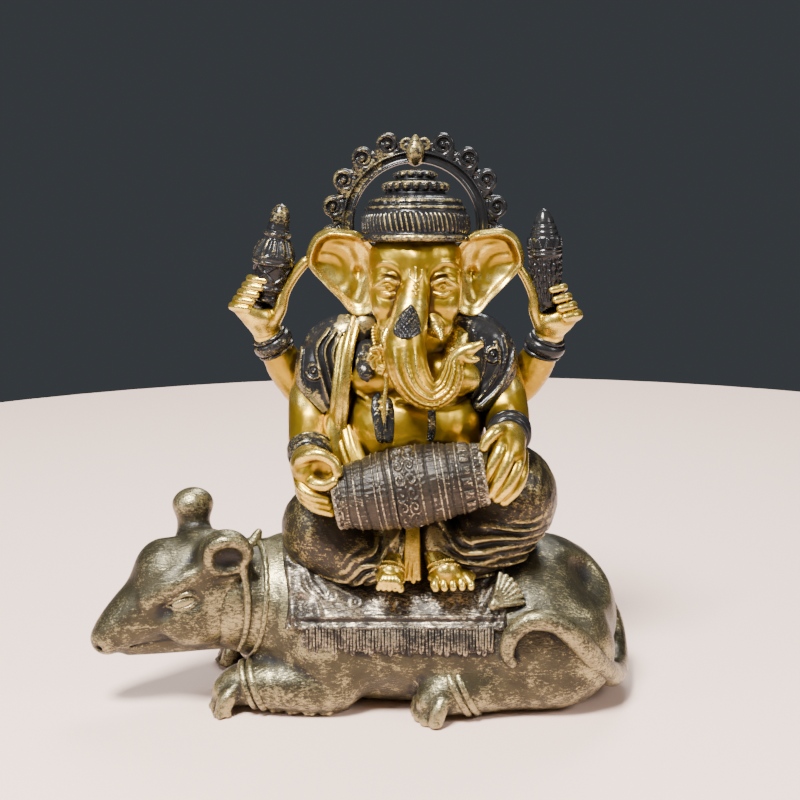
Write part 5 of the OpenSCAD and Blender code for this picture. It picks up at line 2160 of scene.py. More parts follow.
    def capes(self) -> None:
        """Gloss black shoulder capes with curved pleats, gold edges and a spiral boss."""
        for side, name in ((-1.0, "right_shawl"), (1.0, "left_shawl")):
            clay = Clay()
            if side < 0:
                rows = [(-7.4, -1.0, 36.2, 2.2), (-11.4, -0.6, 33.4, 4.0), (-12.9, -0.8, 30.4, 4.5),
                        (-13.2, -1.6, 27.2, 4.1),
                        (-13.0, -3.2, 25.2, 2.4), (-12.9, -4.4, 23.7, 0.8)]
                lines = [
                    Line([(-16.4, 33.0), (-16.6, 29.4), (-15.2, 26.4), (-13.2, 24.3)], 0.26, 0.4),
                    Line([(-12.4, 36.0), (-14.1, 33.4), (-13.4, 29.6), (-12.2, 25.6)], 0.24, 0.55),
                    Line([(-11.5, 35.8), (-12.9, 33.2), (-12.2, 29.6), (-11.3, 26.4)], 0.22, 0.5),
                    Line([(-10.7, 35.4), (-11.7, 32.8), (-11.1, 29.4), (-10.5, 27.0)], 0.22, 0.45),
                    Line([(-9.4, 36.4), (-9.9, 33.4), (-9.7, 30.0), (-9.9, 27.0)], 0.3, 0.45),
                ]
                boss, second = (-14.6, 30.2), (-10.6, 34.8)
            else:
                rows = [(6.8, -1.0, 36.4, 2.2), (9.6, -0.6, 34.2, 3.6), (10.8, -0.8, 31.4, 4.1),
                        (10.9, -1.4, 28.4, 3.8),
                        (10.0, -3.4, 26.2, 2.4), (9.2, -5.2, 25.2, 1.1)]
                lines = [
                    Line([(14.4, 33.0), (13.8, 30.6), (12.0, 27.6), (9.4, 25.2)], 0.26, 0.42),
                    Line([(11.6, 34.2), (12.2, 31.6), (11.0, 28.8), (9.0, 26.2)], 0.24, 0.5),
                    Line([(9.6, 34.6), (10.0, 31.4), (9.2, 28.6), (8.0, 26.4)], 0.22, 0.48),
                    Line([(8.4, 35.6), (8.6, 32.4), (8.0, 29.6), (7.4, 27.4)], 0.24, 0.42),
                    Line([(12.8, 35.2), (13.2, 32.6), (12.4, 30.2)], 0.22, 0.35),
                ]
                boss, second = (11.2, 32.6), None
            clay.add(Limb(rows, 25))
            clay.add(Limb([(side * 6.4, 1.4, 35.8, 2.2), (side * 10.4, 2.4, 31.6, 3.8),
                           (side * 10.2, 2.4, 27.8, 3.6)], 9), 1.5)

            def relief(p: Array, lines: Sequence[Line] = lines, boss: Point = boss,
                       second: Optional[Point] = second) -> Array:
                """Pleats at the front, a spiral boss, and plain pleats at the back.

                Args:
                    p: places in millimetres.
                    lines: this side's pleats.
                    boss: x and z of the spiral.
                    second: x and z of the stamped patch, if any.

                Returns:
                    Height above the smooth cape.
                """
                front = ease(p[..., 1], 0.4, -1.6)
                total = sum(line.relief(p) for line in lines) * front
                away = np.hypot(p[..., 0] - boss[0], p[..., 2] - boss[1])
                angle = np.arctan2(p[..., 2] - boss[1], p[..., 0] - boss[0])
                coil = 0.45 * hump(away, 0.95 - 0.09 * angle / math.pi, 0.24)
                total += front * (coil + 0.5 * hump(away, 0, 0.34))
                if second is not None:
                    near = np.hypot(p[..., 0] - second[0], p[..., 2] - second[1])
                    stamp = 0.3 * front * hump(near, 0, 0.9)
                    total += stamp * np.sin(9 * p[..., 0]) * np.sin(9 * p[..., 2])
                back = ease(p[..., 1], 0.5, 3.0)
                total += back * 0.22 * np.cos(TAU * (np.abs(p[..., 0]) + 0.12 * p[..., 2]) / 1.5)
                return total

            form = Wrinkled(clay, relief)
            low, high = ((-18, -7, 22), (-4, 7, 39.5)) if side < 0 else ((4, -8, 23), (16.5, 7, 39.5))
            self.put(name, net(form, low, high, 0.2), BLACK, self.silver_patch if side < 0 else -0.12)

    def silver_patch(self, points: Array) -> Array:
        """More metal paint near the top of the right cape."""
        return 0.35 * hump(np.hypot(points[:, 0] + 10.8, points[:, 2] - 34.8), 0, 1.4)

    def vase(self) -> None:
        """A lidded vase: a pointed stopper, rings, a bell and a band of crossed strands."""
        corners = [(0, 0), (1.5, 0.0), (1.75, 0.5), (1.5, 1.1), (1.9, 1.6), (2.35, 1.8), (2.45, 2.15),
                   (2.2, 2.5), (2.45, 2.9),
                   (2.6, 4.6), (2.75, 5.4), (3.1, 5.6), (3.15, 5.95), (2.95, 6.15), (3.1, 6.4), (3.05, 6.8),
                   (2.7, 7.8), (2.1, 9.0),
                   (1.8, 9.5), (1.9, 9.7), (2.1, 9.95), (1.9, 10.25), (1.55, 10.4), (1.65, 10.7),
                   (1.5, 11.2), (1.5, 12.2),
                   (1.25, 13.2), (0.75, 14.0), (0, 14.35)]

        def relief(height: Array, angle: Array) -> Array:
            """Crossed strands on the band, flutes on the bell.

            Args:
                height: along the axis, in millimetres.
                angle: round it, in radians.

            Returns:
                Height added to the radius.
            """
            band = ease(height, 2.9, 3.2) * ease(height, 5.5, 5.2)
            cross = np.maximum(np.cos(5 * angle + 2.2 * height), np.cos(5 * angle - 2.2 * height))
            bell = ease(height, 6.8, 7.1) * ease(height, 9.4, 9.0)
            return 0.3 * band * (ease(cross, 0.7, 1.0) - 0.4) + 0.14 * bell * np.cos(12 * angle)

        spun = turned_profile(fine_profile(corners, 0.11, 2), 132, relief)
        surface = outward(placed(spun, (-21.5, -0.2, 39.6), (2.3, 0.0, 13.9)))
        self.put("ritual_vase", surface, BLACK, leaf=lambda p: -0.24 + 0.1 * ease(p[:, 2], 44, 47))

    def mace(self) -> None:
        """A club head: stepped tip, a crown of teeth, a collar, and a tapering carved shaft."""
        corners = [(0, 0), (1.3, 0.0), (1.55, 0.6), (1.7, 1.6), (2.0, 3.2), (2.25, 5.0), (2.3, 6.8),
                   (2.3, 7.5), (2.55, 7.7),
                   (2.55, 7.95), (2.35, 8.1), (2.55, 8.3), (2.5, 8.5), (2.3, 8.7), (2.25, 9.8), (2.2, 10.3),
                   (1.95, 10.5),
                   (2.05, 10.8), (1.9, 11.2), (1.75, 11.3), (1.85, 11.6), (1.65, 12.0), (1.45, 12.1),
                   (1.5, 12.4), (1.2, 13.1),
                   (0.7, 13.9), (0, 14.3)]

        def relief(height: Array, angle: Array) -> Array:
            """Pointed teeth above the collar, and leaves below it.

            Args:
                height: along the axis, in millimetres.
                angle: round it, in radians.

            Returns:
                Height added to the radius.
            """
            teeth = ease(height, 8.7, 8.9) * ease(height, 10.3, 10.1)
            point = ease(np.cos(9 * angle), (height - 8.7) / 0.9 - 1, (height - 8.7) / 0.9 - 0.6)
            leaves = ease(height, 0.9, 1.4) * ease(height, 7.4, 7.1)
            carved = ease(np.cos(9 * angle) * np.cos(3.6 * height), -0.2,
                          0.5) + 0.5 * np.cos(18 * angle) - 0.6
            return 0.34 * teeth * point + 0.2 * leaves * carved

        spun = turned_profile(fine_profile(corners, 0.11, 2), 144, relief)
        surface = outward(placed(spun, (19.2, -0.2, 38.8), (-0.8, 0.0, 14.3)))
        self.put("mace", surface, BLACK, leaf=-0.5)


@dataclass(frozen=True)
class Trunk:
    """A round trunk along a path, with long grooves that follow it on its front."""

    rows: Sequence[Point]
    lines: float = 2.2
    depth: float = 0.17

    def box(self) -> tuple[Array, Array]:
        """Corners that hold it."""
        return Limb(self.rows).box()

    def __call__(self, points: Array) -> Array:
        """Distance to the limb less its grooves: a cosine of the sideways share of the radius.

        Args:
            points: places in millimetres.

        Returns:
            Signed near distances.
        """
        rows = spline(self.rows, 4 * len(self.rows))
        best = np.full(len(points), np.inf)
        across, front, along = np.zeros(len(points)), np.zeros(len(points)), np.zeros(len(points))
        for i, (start, end) in enumerate(zip(rows[:-1], rows[1:])):
            step = end - start
            share = np.clip(((points - start[:3]) @ step[:3]) / (step[:3] @ step[:3]), 0, 1)
            away = points - start[:3] - share[:, None] * step[:3]
            radius = start[3] + share * step[3]
            distance = np.linalg.norm(away, axis=1) - radius
            nearer = distance < best
            side = unit(np.array([step[2], 0.0, -step[0]]))
            best = np.where(nearer, distance, best)
            across = np.where(nearer, away @ side / radius, across)
            front = np.where(nearer, away[:, 1] / radius, front)
            along = np.where(nearer, (i + share) / len(rows), along)
        where = ease(front, 0.0, -0.45) * ease(along, 0.24, 0.36) * ease(along, 0.86, 0.7)
        where = where * ease(np.abs(across), 0.95, 0.6)
        return best - self.depth * where * np.cos(TAU * self.lines * across)


@dataclass
class Head(Sculpture):
    """Elephant head with trunk, tusks, ears, the forehead mark and the plaque on the trunk."""

    step: float = 0.15

    trunk: Sequence[Point] = (
        (-0.1, -6.4, 43.6, 2.0), (-0.5, -8.4, 40.6, 2.35), (-1.1, -10.2, 37.4, 2.7),
        (-1.5, -11.6, 34.4, 3.0),
        (-1.0, -12.4, 31.6, 2.85), (0.3, -12.9, 29.4, 2.45), (2.2, -13.0, 28.4, 2.15),
        (4.1, -12.8, 29.3, 1.95),
        (5.1, -12.6, 31.4, 1.65), (5.4, -12.6, 33.2, 1.25), (6.3, -12.7, 34.4, 0.95),
        (7.6, -12.8, 34.9, 0.8),
    )

    ear_folds: Sequence[tuple[float, float, Sequence[Point]]] = (
        (0.3, 0.8, ((12.6, 48.0), (10.2, 47.4), (9.0, 45.4), (9.2, 42.8), (9.9, 41.4))),
        (0.12, 0.5, ((13.4, 46.4), (11.5, 46.1), (10.5, 44.6), (10.6, 42.8))),
        (0.2, 0.5, ((8.0, 48.0), (7.5, 45.4), (7.6, 42.4), (8.2, 40.2))),
    )

    def face(self) -> Clay:
        """Skull, brows, almond eyes with double lids, full cheeks and the trunk.

        Returns:
            The head in one lump.
        """
        clay = Clay()
        clay.add(Egg((0, -1.8, 44.2), (6.9, 6.2, 6.4)))
        clay.add(Egg((0, -3.4, 46.8), (6.4, 4.4, 3.4)), 1.4)
        clay.add(Egg((0, -3.2, 40.2), (5.8, 4.8, 4.8)), 1.4)
        for side in (-1.0, 1.0):
            clay.add(Egg((side * 3.7, -5.6, 40.0), (2.7, 2.5, 2.6), (0, side * 10, 0)), 0.9)
            clay.add(Egg((side * 3.4, -6.2, 37.2), (2.0, 1.9, 2.0)), 0.8)
            clay.add(Egg((side * 3.8, -4.75, 42.4), (2.9, 2.9, 3.6)), 0.8)
        clay.add(Limb([(0, -7.0, 46.4, 1.0), (0, -7.5, 44.2, 1.05), (-0.2, -8.0, 42.0, 1.5)], 25), 1.1)
        clay.add(Trunk(self.trunk), 0.9)
        for side in (-1.0, 1.0):
            brow = [(1.5, -8.2, 42.0, 0.16), (1.65, -7.9, 44.0, 0.2), (2.7, -7.45, 45.7, 0.22),
                    (4.6, -6.6, 46.1, 0.22), (6.2, -5.0, 44.8, 0.16)]
            clay.add(Limb(mirrored(brow, side), 33), 0.5)
            clay.add(Egg((side * 3.85, -6.5, 42.85), (2.1, 1.5, 1.15), (0, 0, side * 14)), 0.14)
            lid = [(1.75, -7.45, 42.5, 0.15), (2.7, -7.9, 43.4, 0.26), (3.9, -7.95, 43.85, 0.3),
                   (5.0, -7.5, 43.45, 0.26), (6.0, -6.5, 42.6, 0.14)]
            clay.add(Limb(mirrored(lid, side), 29), 0.12)
            crease = [(2.1, -7.45, 43.9, 0.08), (3.0, -7.6, 44.5, 0.13), (4.2, -7.45, 44.7, 0.13),
                      (5.4, -6.7, 44.2, 0.08)]
            clay.add(Limb(mirrored(crease, side), 25), 0.2)
            low = [(1.8, -7.45, 42.4, 0.14), (2.9, -7.85, 41.85, 0.22), (4.1, -7.85, 41.8, 0.24),
                   (5.9, -6.5, 42.5, 0.14)]
            clay.add(Limb(mirrored(low, side), 25), 0.14)
            clay.carve(Limb(mirrored([(2.4, -8.05, 41.3, 0.12), (3.9, -8.1, 41.1, 0.15),
                                      (5.2, -7.5, 41.35, 0.1)], side), 21), 0.25)
            clay.carve(Limb(mirrored([(1.8, -9.0, 41.6, 0.12), (2.3, -9.0, 39.2, 0.18),
                                      (2.6, -8.8, 37.0, 0.18)], side), 21), 0.35)
            clay.carve(Egg((side * 3.85, -7.9, 42.75), (0.4, 0.14, 0.34)), 0.1)
            tusk_root = [(side * 2.4, -7.4, 38.0, 1.05), (side * 3.0, -8.4, 37.0, 1.1)]
            clay.add(Limb(tusk_root, 2), 0.4)
        clay.add(Limb([(6.2, -12.8, 34.2, 0.8), (7.5, -13.0, 33.5, 0.7), (8.5, -12.9, 33.5, 0.35)], 15),
                 0.35)
        clay.add(Limb([(7.6, -12.8, 34.9, 0.78), (8.9, -12.8, 35.5, 0.5)], 2), 0.25)
        clay.carve(Limb([(7.3, -13.8, 34.2, 0.2), (8.7, -13.6, 34.4, 0.3)], 2), 0.2)
        clay.carve(Limb([(-2.2, -9.4, 41.0, 0.08), (-1.6, -9.9, 40.6, 0.12), (0.6, -9.9, 40.6, 0.12),
                         (1.4, -9.4, 41.0, 0.08)], 17), 0.15)
        return clay

    def build(self) -> None:
        """The head in one cast, then what sits on it."""
        form = Wrinkled(self.face(), lambda p: 0.03 * ripple(p, 3.0, 3.0))
        surface = net(form, (-8, -16, 25.8), (11.6, 5, 51), self.step)
        self.put("head", surface, GOLD, replaces=("head", "trunk"))
        tusks = []
        for side, rows in (
            (-1.0, [(-3.0, -8.0, 37.4, 0.95), (-3.8, -9.2, 36.8, 0.85), (-4.3, -10.0, 36.1, 0.6),
                    (-4.5, -10.5, 35.6, 0.3)]),
            (1.0, [(2.6, -8.2, 37.4, 0.95), (3.1, -9.4, 36.9, 0.8), (3.4, -10.0, 36.3, 0.55),
                   (3.5, -10.4, 35.9, 0.3)]),
        ):
            line = spline(rows, 20)
            tusks.append(tube(line[:, :3], line[:, 3], 24, lambda s, a: 0.06 * np.cos(TAU * 9 * s)))
        self.put("tusks", joined(tusks), GOLD, leaf=0.25)
        for side, name in ((-1.0, "right_ear"), (1.0, "left_ear")):
            self.put(name, self.ear(side), GOLD)
        self.mark()
        self.plaque()

    def ear(self, side: float) -> Surface:
        """A wide ear as a thin bowl.

        The front runs from the middle of the bowl out to the rim, y(s) = bowl + roll near the rim less
        the raised folds, and the back returns to the middle at the wall's thickness.

        Args:
            side: -1 for the right ear, 1 for the left.

        Returns:
            A closed surface.
        """
        outline = np.array([
            (5.5, 44.8), (5.9, 47.4), (8.0, 49.6), (10.4, 50.1), (12.7, 50.1), (14.6, 48.8), (15.6, 45.9),
            (14.7, 44.1),
            (13.0, 42.3), (10.9, 40.2), (8.8, 38.0), (6.4, 38.6), (5.6, 41.4),
        ])
        columns = 150
        angle = np.arange(columns) * TAU / columns
        edge = np.stack([loop_curve(outline[:, i], angle) for i in range(2)], 1)
        centre = np.array([9.6, 44.6])
        share = 1 - (1 - np.linspace(0, 1, 56)) ** 1.35
        flat = centre + share[:, None, None] * (edge - centre)
        x, z = flat[..., 0], flat[..., 1]
        top = ease(edge[:, 1], 43.0, 47.5) * ease(edge[:, 0], 6.4, 9.0)
        roll = (0.35 + 0.95 * top)[None, :] * hump(share[:, None], 0.9, 0.085)
        wave = 0.12 * np.sin(9 * angle)[None, :] * share[:, None] ** 4
        bowl = 1.5 * (1 - share[:, None] ** 2.2)
        base = -2.6 + 0.16 * (x - 6.4) - 0.25 * ease(share, 0.9, 1.0)[:, None] * (1 - top)[None, :]
        line_points = np.stack([x, np.zeros_like(x), z], -1)
        folds = np.zeros_like(x)
        for height, width, path in self.ear_folds:
            folds += height * hump(traced(line_points, path), 0, width)
        pit = 0.7 * hump(np.hypot(x - 8.2, z - 44.0), 0, 0.8)
        front = base + bowl - roll - folds + pit + wave
        wall = 0.7 + 0.5 * (1 - share[:, None]) + 0.9 * top[None, :] * hump(share[:, None], 0.86, 0.14)
        back = base + bowl + wall + wave
        out = np.stack([side * x, front, z], -1)
        rear = np.stack([side * x, back, z], -1)
        lip = 0.5 * (out[-1] + rear[-1])
        lip[:, [0, 2]] += (lip[:, [0, 2]] - np.array([side * centre[0], centre[1]])) * 0.03
        points = np.concatenate([out, lip[None], rear[::-1]])
        return outward(closed_grid(points))

    def skin_y(self, x: float, z: float) -> float:
        """Where the face's skin is, looking from the front."""
        start = np.array([[x, -4.0, z]])
        return -4.0 - float(ray_length(self.face(), start, np.array([[0.0, -1.0, 0.0]]), 14.0)[0])

    def mark(self) -> None:
        """A three-pronged flame over a row of small beads between the brows."""
        clay = Clay()
        prongs = (
            [(-0.9, 45.2), (-0.75, 44.3), (0, 43.7)],
            [(0.9, 45.2), (0.75, 44.3), (0, 43.7)],
            [(0, 45.6), (0, 44.6), (0, 43.6)],
        )
        for path in prongs:
            rows = [(x, self.skin_y(x, z) - 0.02, z, 0.2) for x, z in path]
            clay.add(Limb(rows, 9), 0.06)
        beads = ((0, 43.0, 0.28), (-0.45, 42.6, 0.22), (0.45, 42.6, 0.22), (0, 42.2, 0.24),
                 (-0.3, 43.3, 0.18),
                 (0.35, 43.35, 0.18))
        for x, z, size in beads:
            clay.add(ball((x, self.skin_y(x, z) - 0.08, z), size), 0.05)
        surface = net(clay, (-1.6, -11, 41.5), (1.6, -7, 46.2), 0.09)
        self.put("forehead_mark", surface, GOLD)

    def plaque(self) -> None:
        """A black plate with silver grains that hugs the trunk's root and ends in a point above."""
        rows, columns = 64, 56
        share = np.linspace(0, 1, rows)
        angle = np.arange(columns) * TAU / columns
        outline = np.array([(-0.7, 40.6), (-0.1, 39.9), (0.35, 38.9), (0.65, 37.6), (0.7, 36.2),
                            (-0.2, 35.6), (-1.2, 35.4), (-2.3, 35.5),
                            (-3.1, 36.1), (-3.0, 37.4), (-2.4, 38.8), (-1.5, 39.9)])
        outline[:, 1] = 36.5 + (outline[:, 1] - 35.4) * 0.84
        edge = np.stack([loop_curve(outline[:, i], angle) for i in range(2)], 1)
        centre = outline.mean(0)
        flat = centre + share[:, None, None] * (edge - centre)
        start = np.stack([flat[..., 0], np.full(flat.shape[:2], -5.0), flat[..., 1]], -1).reshape(-1, 3)
        depth = ray_length(self.face(), start, np.repeat(np.array([[0.0, -1.0, 0.0]]), len(start), 0),
                           12.0).reshape(flat.shape[:2])
        x, z = flat[..., 0], flat[..., 1]
        grains = np.sin(x * TAU / 0.62 + 1.3 * np.sin(2.4 * z)) * np.sin(z * TAU / 0.66 + np.sin(2 * x))
        raised = 0.3 * ease(share, 1.0, 0.9)[:, None]
        lift = raised * (1 + 0.9 * np.clip(grains, -0.4, 1)) + 0.05
        front = np.stack([x, -5.0 - depth - lift, z], -1)
        back = np.stack([x, -5.0 - depth + 0.4, z], -1)
        plate = outward(closed_grid(np.concatenate([front, back[::-1]])))
        self.put("trunk_plaque", plate, BLACK, leaf=-0.26)


@dataclass
class Regalia(Sculpture):
    """Crown and halo: ring, scrolls and finial."""

    crown_at: Point = (0.0, -1.2, 48.3)
    lean: float = 0.13
    halo_at: Point = (0.0, 3.6, 50.4)
    ring_in: float = 8.9
    ring_wide: float = 1.9
    ring_half: float = 1.15
    scroll_radius: float = 1.5
    scrolls: int = 5
    scroll_step: float = 19.5

    def build(self) -> None:
        """Crown first, then the halo's parts."""
        self.crown()
        self.ring()
        self.curls()
        self.finial()

    def crown(self) -> None:
        """A tiered crown: rolled rim, pleated band, two rolls, dome, and two scalloped tiers."""
        corners = [(0, 0), (7.6, 0), (7.95, 0.2), (8.05, 0.55), (7.9, 0.9), (7.65, 1.05), (7.55, 1.25),
                   (7.7, 1.6), (7.75, 2.6),
                   (7.6, 3.7), (7.3, 4.3), (7.15, 4.4), (7.3, 4.65), (7.25, 4.95), (7.0, 5.1), (6.75, 5.15),
                   (6.75, 5.4),
                   (6.75, 5.75), (6.45, 6.05), (6.0, 6.2), (5.5, 6.5), (4.7, 6.75), (4.3, 6.9), (4.25, 7.2),
                   (4.45, 7.35),
                   (4.6, 7.65), (4.65, 8.1), (4.45, 8.45), (4.0, 8.6), (3.2, 8.7), (2.85, 8.85),
                   (2.8, 9.15), (3.0, 9.35),
                   (3.1, 9.6), (2.95, 9.9), (2.5, 10.1), (1.6, 10.3), (0, 10.5)]

        def relief(height: Array, angle: Array) -> Array:
            """Ribs on the band, a twist on the rim, teeth on both upper tiers.

            Args:
                height: along the axis, in millimetres.
                angle: round it, in radians.

            Returns:
                Height added to the radius.
            """
            band = ease(height, 1.25, 1.7) * ease(height, 4.25, 3.7)
            wobble = 0.7 * np.sin(5 * angle) + 0.5 * np.sin(11 * angle + 1)
            uneven = 0.8 + 0.3 * np.sin(7 * angle + 2)
            ribs = 0.19 * band * np.cos(64 * angle + 1.8 * height + 1.6 * wobble) * uneven
            rim = 0.07 * hump(height, 0.5, 0.4) * np.cos(31 * angle + 2 * np.sin(4 * angle))
            low_teeth = 0.26 * ease(height, 7.2, 7.45) * ease(height, 8.5, 8.2) * np.cos(20 * angle)
            top_teeth = 0.2 * ease(height, 9.15, 9.35) * ease(height, 10.0, 9.8) * np.cos(14 * angle)
            on_dome = ease(height, 4.4, 4.6) * ease(height, 6.4, 6.0)
            dome = 0.05 * on_dome * np.sin(23 * angle + 3 * np.sin(3 * angle))
            return ribs + rim + low_teeth + top_teeth + dome

        spun = turned_profile(fine_profile(corners, 0.13, 2), 608, relief)
        surface = outward(placed(spun, self.crown_at, (0.0, self.lean, 1.0)))
        self.put("crown", surface, BLACK, leaf=self.crown_leaf)

    def crown_leaf(self, points: Array) -> Array:
        """Bright rim and band, darker tiers and sides.

        Args:
            points: the crown's vertices.

        Returns:
            Extra metal paint for each vertex.
        """
        local = points - np.asarray(self.crown_at, float)
        up = local[:, 2]
        rim = -0.3 * hump(up, 0.5, 0.7)
        sides = -0.2 * ease(np.abs(local[:, 0]), 3.6, 7.5)
        return rim + sides - 0.12 * ease(up, 5.0, 8.0) + 0.04

    def ring(self) -> None:
        """A flat ring with a raised bead at its inner and outer edges, open at the bottom."""
        columns, rows = 44, 190
        phase = np.arange(columns) * TAU / columns
        wide = np.sign(np.cos(phase)) * np.abs(np.cos(phase)) ** 0.6
        deep = np.sign(np.sin(phase)) * np.abs(np.sin(phase)) ** 0.6
        across = 0.5 * self.ring_wide * wide
        swell = 0.78 + 0.3 * hump(np.abs(wide), 0.72, 0.2) - 0.2 * hump(np.abs(wide), 0.1, 0.3)
        depth = self.ring_half * deep * swell
        turn = np.radians(np.linspace(-10, 190, rows))
        middle = self.ring_in + 0.5 * self.ring_wide
        shrink = np.ones(rows)
        shrink[[0, -1]] = 0.0
        reach = middle + shrink[:, None] * across
        points = np.stack([reach * np.cos(turn)[:, None], shrink[:, None] * depth * np.ones((rows, 1)),
                           reach * np.sin(turn)[:, None]], -1)
        points += np.asarray(self.halo_at, float)
        self.put("halo_ring", outward(closed_grid(points)), BLACK, leaf=self.brushed)

    def brushed(self, points: Array) -> Array:
        """The idol's right side of the halo has more metal paint than its left."""
        return -0.48 + 0.32 * ease(points[:, 0], 1.0, -5.0)

    def curl(self) -> Surface:
        """One snail curl: a dished shell, a coil, a ball, and leaves that sweep down to the ring.

        Returns:
            One curl that stands upright at zero.
        """
        size = self.scroll_radius
        clay = Clay()
        clay.add(Egg((0, 0.2, 0), (size, 0.7, size)))
        clay.add(Egg((0.2, 0.3, -size * 0.9), (size * 1.75, 0.62, size * 1.05)), 0.4)
        clay.carve(Egg((0, -0.75, 0), (size * 0.72, 0.55, size * 0.72)), 0.2)
        turn = np.linspace(-0.7 * math.pi, 2.1 * math.pi, 17)
        radius = np.linspace(size * 1.0, size * 0.42, 17)
        rows = [(r * math.cos(a), -0.36, r * math.sin(a), 0.3 - 0.004 * i) for i,
                (a, r) in enumerate(zip(turn, radius))]
        clay.add(Limb(rows, 65), 0.12)
        clay.add(ball((0.05, -0.5, 0.0), 0.42), 0.1)
        for shift, bend in ((0.0, 0.3), (0.62, 0.15), (1.2, 0.0)):
            leaf = [(size * 0.98 + 0.25 * shift, -0.25, -0.2 - shift, 0.3),
                    (size * 0.8 + 0.3 * shift, -0.3, -size - 0.5 * shift, 0.32),
                    (size * 0.2 + bend, -0.2, -size * 1.5, 0.28)]
            clay.add(Limb(leaf, 17), 0.12)
        clay.add(Limb([(-size * 0.9, -0.1, -0.5, 0.3), (-size * 1.15, -0.1, -size, 0.34),
                       (-size * 0.9, -0.1, -size * 1.45, 0.3)], 13), 0.15)
        return net(clay, (-2.8, -1.4, -3.6), (3.0, 1.4, 2.3), 0.14)

    def curls(self) -> None:
        """The curl repeated along both sides of the halo, mirrored on the idol's left."""
        seed_points, seed_faces = self.curl()
        parts = []
        away = self.ring_in + self.ring_wide + 0.95 * self.scroll_radius
        for i in range(self.scrolls):
            for side in (-1.0, 1.0):
                turn = math.radians(self.scroll_step * (i + 0.97)) * side
                size = 1.12 - 0.03 * i
                points = seed_points * (size * np.array([side, 1.0, 1.0]))
                axes = turn_matrix((0.0, math.degrees(turn), 0.0))
                centre = np.asarray(self.halo_at, float) + axes @ np.array([0.0, -0.05, away])
                parts.append((points @ axes.T + centre, seed_faces if side > 0 else flip(seed_faces)))
        self.put("halo_scrolls", joined(parts), BLACK, leaf=self.brushed)

    def finial(self) -> None:
        """A pointed bud between two curls at the top of the halo."""
        clay = Clay()
        clay.add(Limb([(0, -0.9, 9.4, 0.9), (0, -1.0, 10.5, 1.35), (0, -0.9, 11.8, 0.85),
                       (0, -0.8, 12.6, 0.4)], 13))
        clay.add(Egg((0, 0.1, 10.6), (2.1, 0.8, 1.8)), 0.3)
        clay.add(Limb([(-0.9, -0.5, 9.3, 0.45), (0, -0.9, 9.0, 0.5), (0.9, -0.5, 9.3, 0.45)], 5), 0.15)
        for side in (-1.0, 1.0):
            turn = np.linspace(-0.4 * math.pi, 1.7 * math.pi, 9)
            rows = [(side * (1.15 + r * math.cos(a)), -0.3, 11.6 + r * math.sin(a), 0.3) for a,
                    r in zip(turn, np.linspace(0.95, 0.3, 9))]
            clay.add(Limb(rows, 25), 0.12)
            clay.add(Egg((side * 1.15, 0.1, 11.4), (0.95, 0.6, 1.0)), 0.2)
        bud = net(clay, (-3, -2.6, 8), (3, 1.4, 13.4), 0.13)
        self.put("halo_finial", moved(bud, np.asarray(self.halo_at, float)), BLACK)


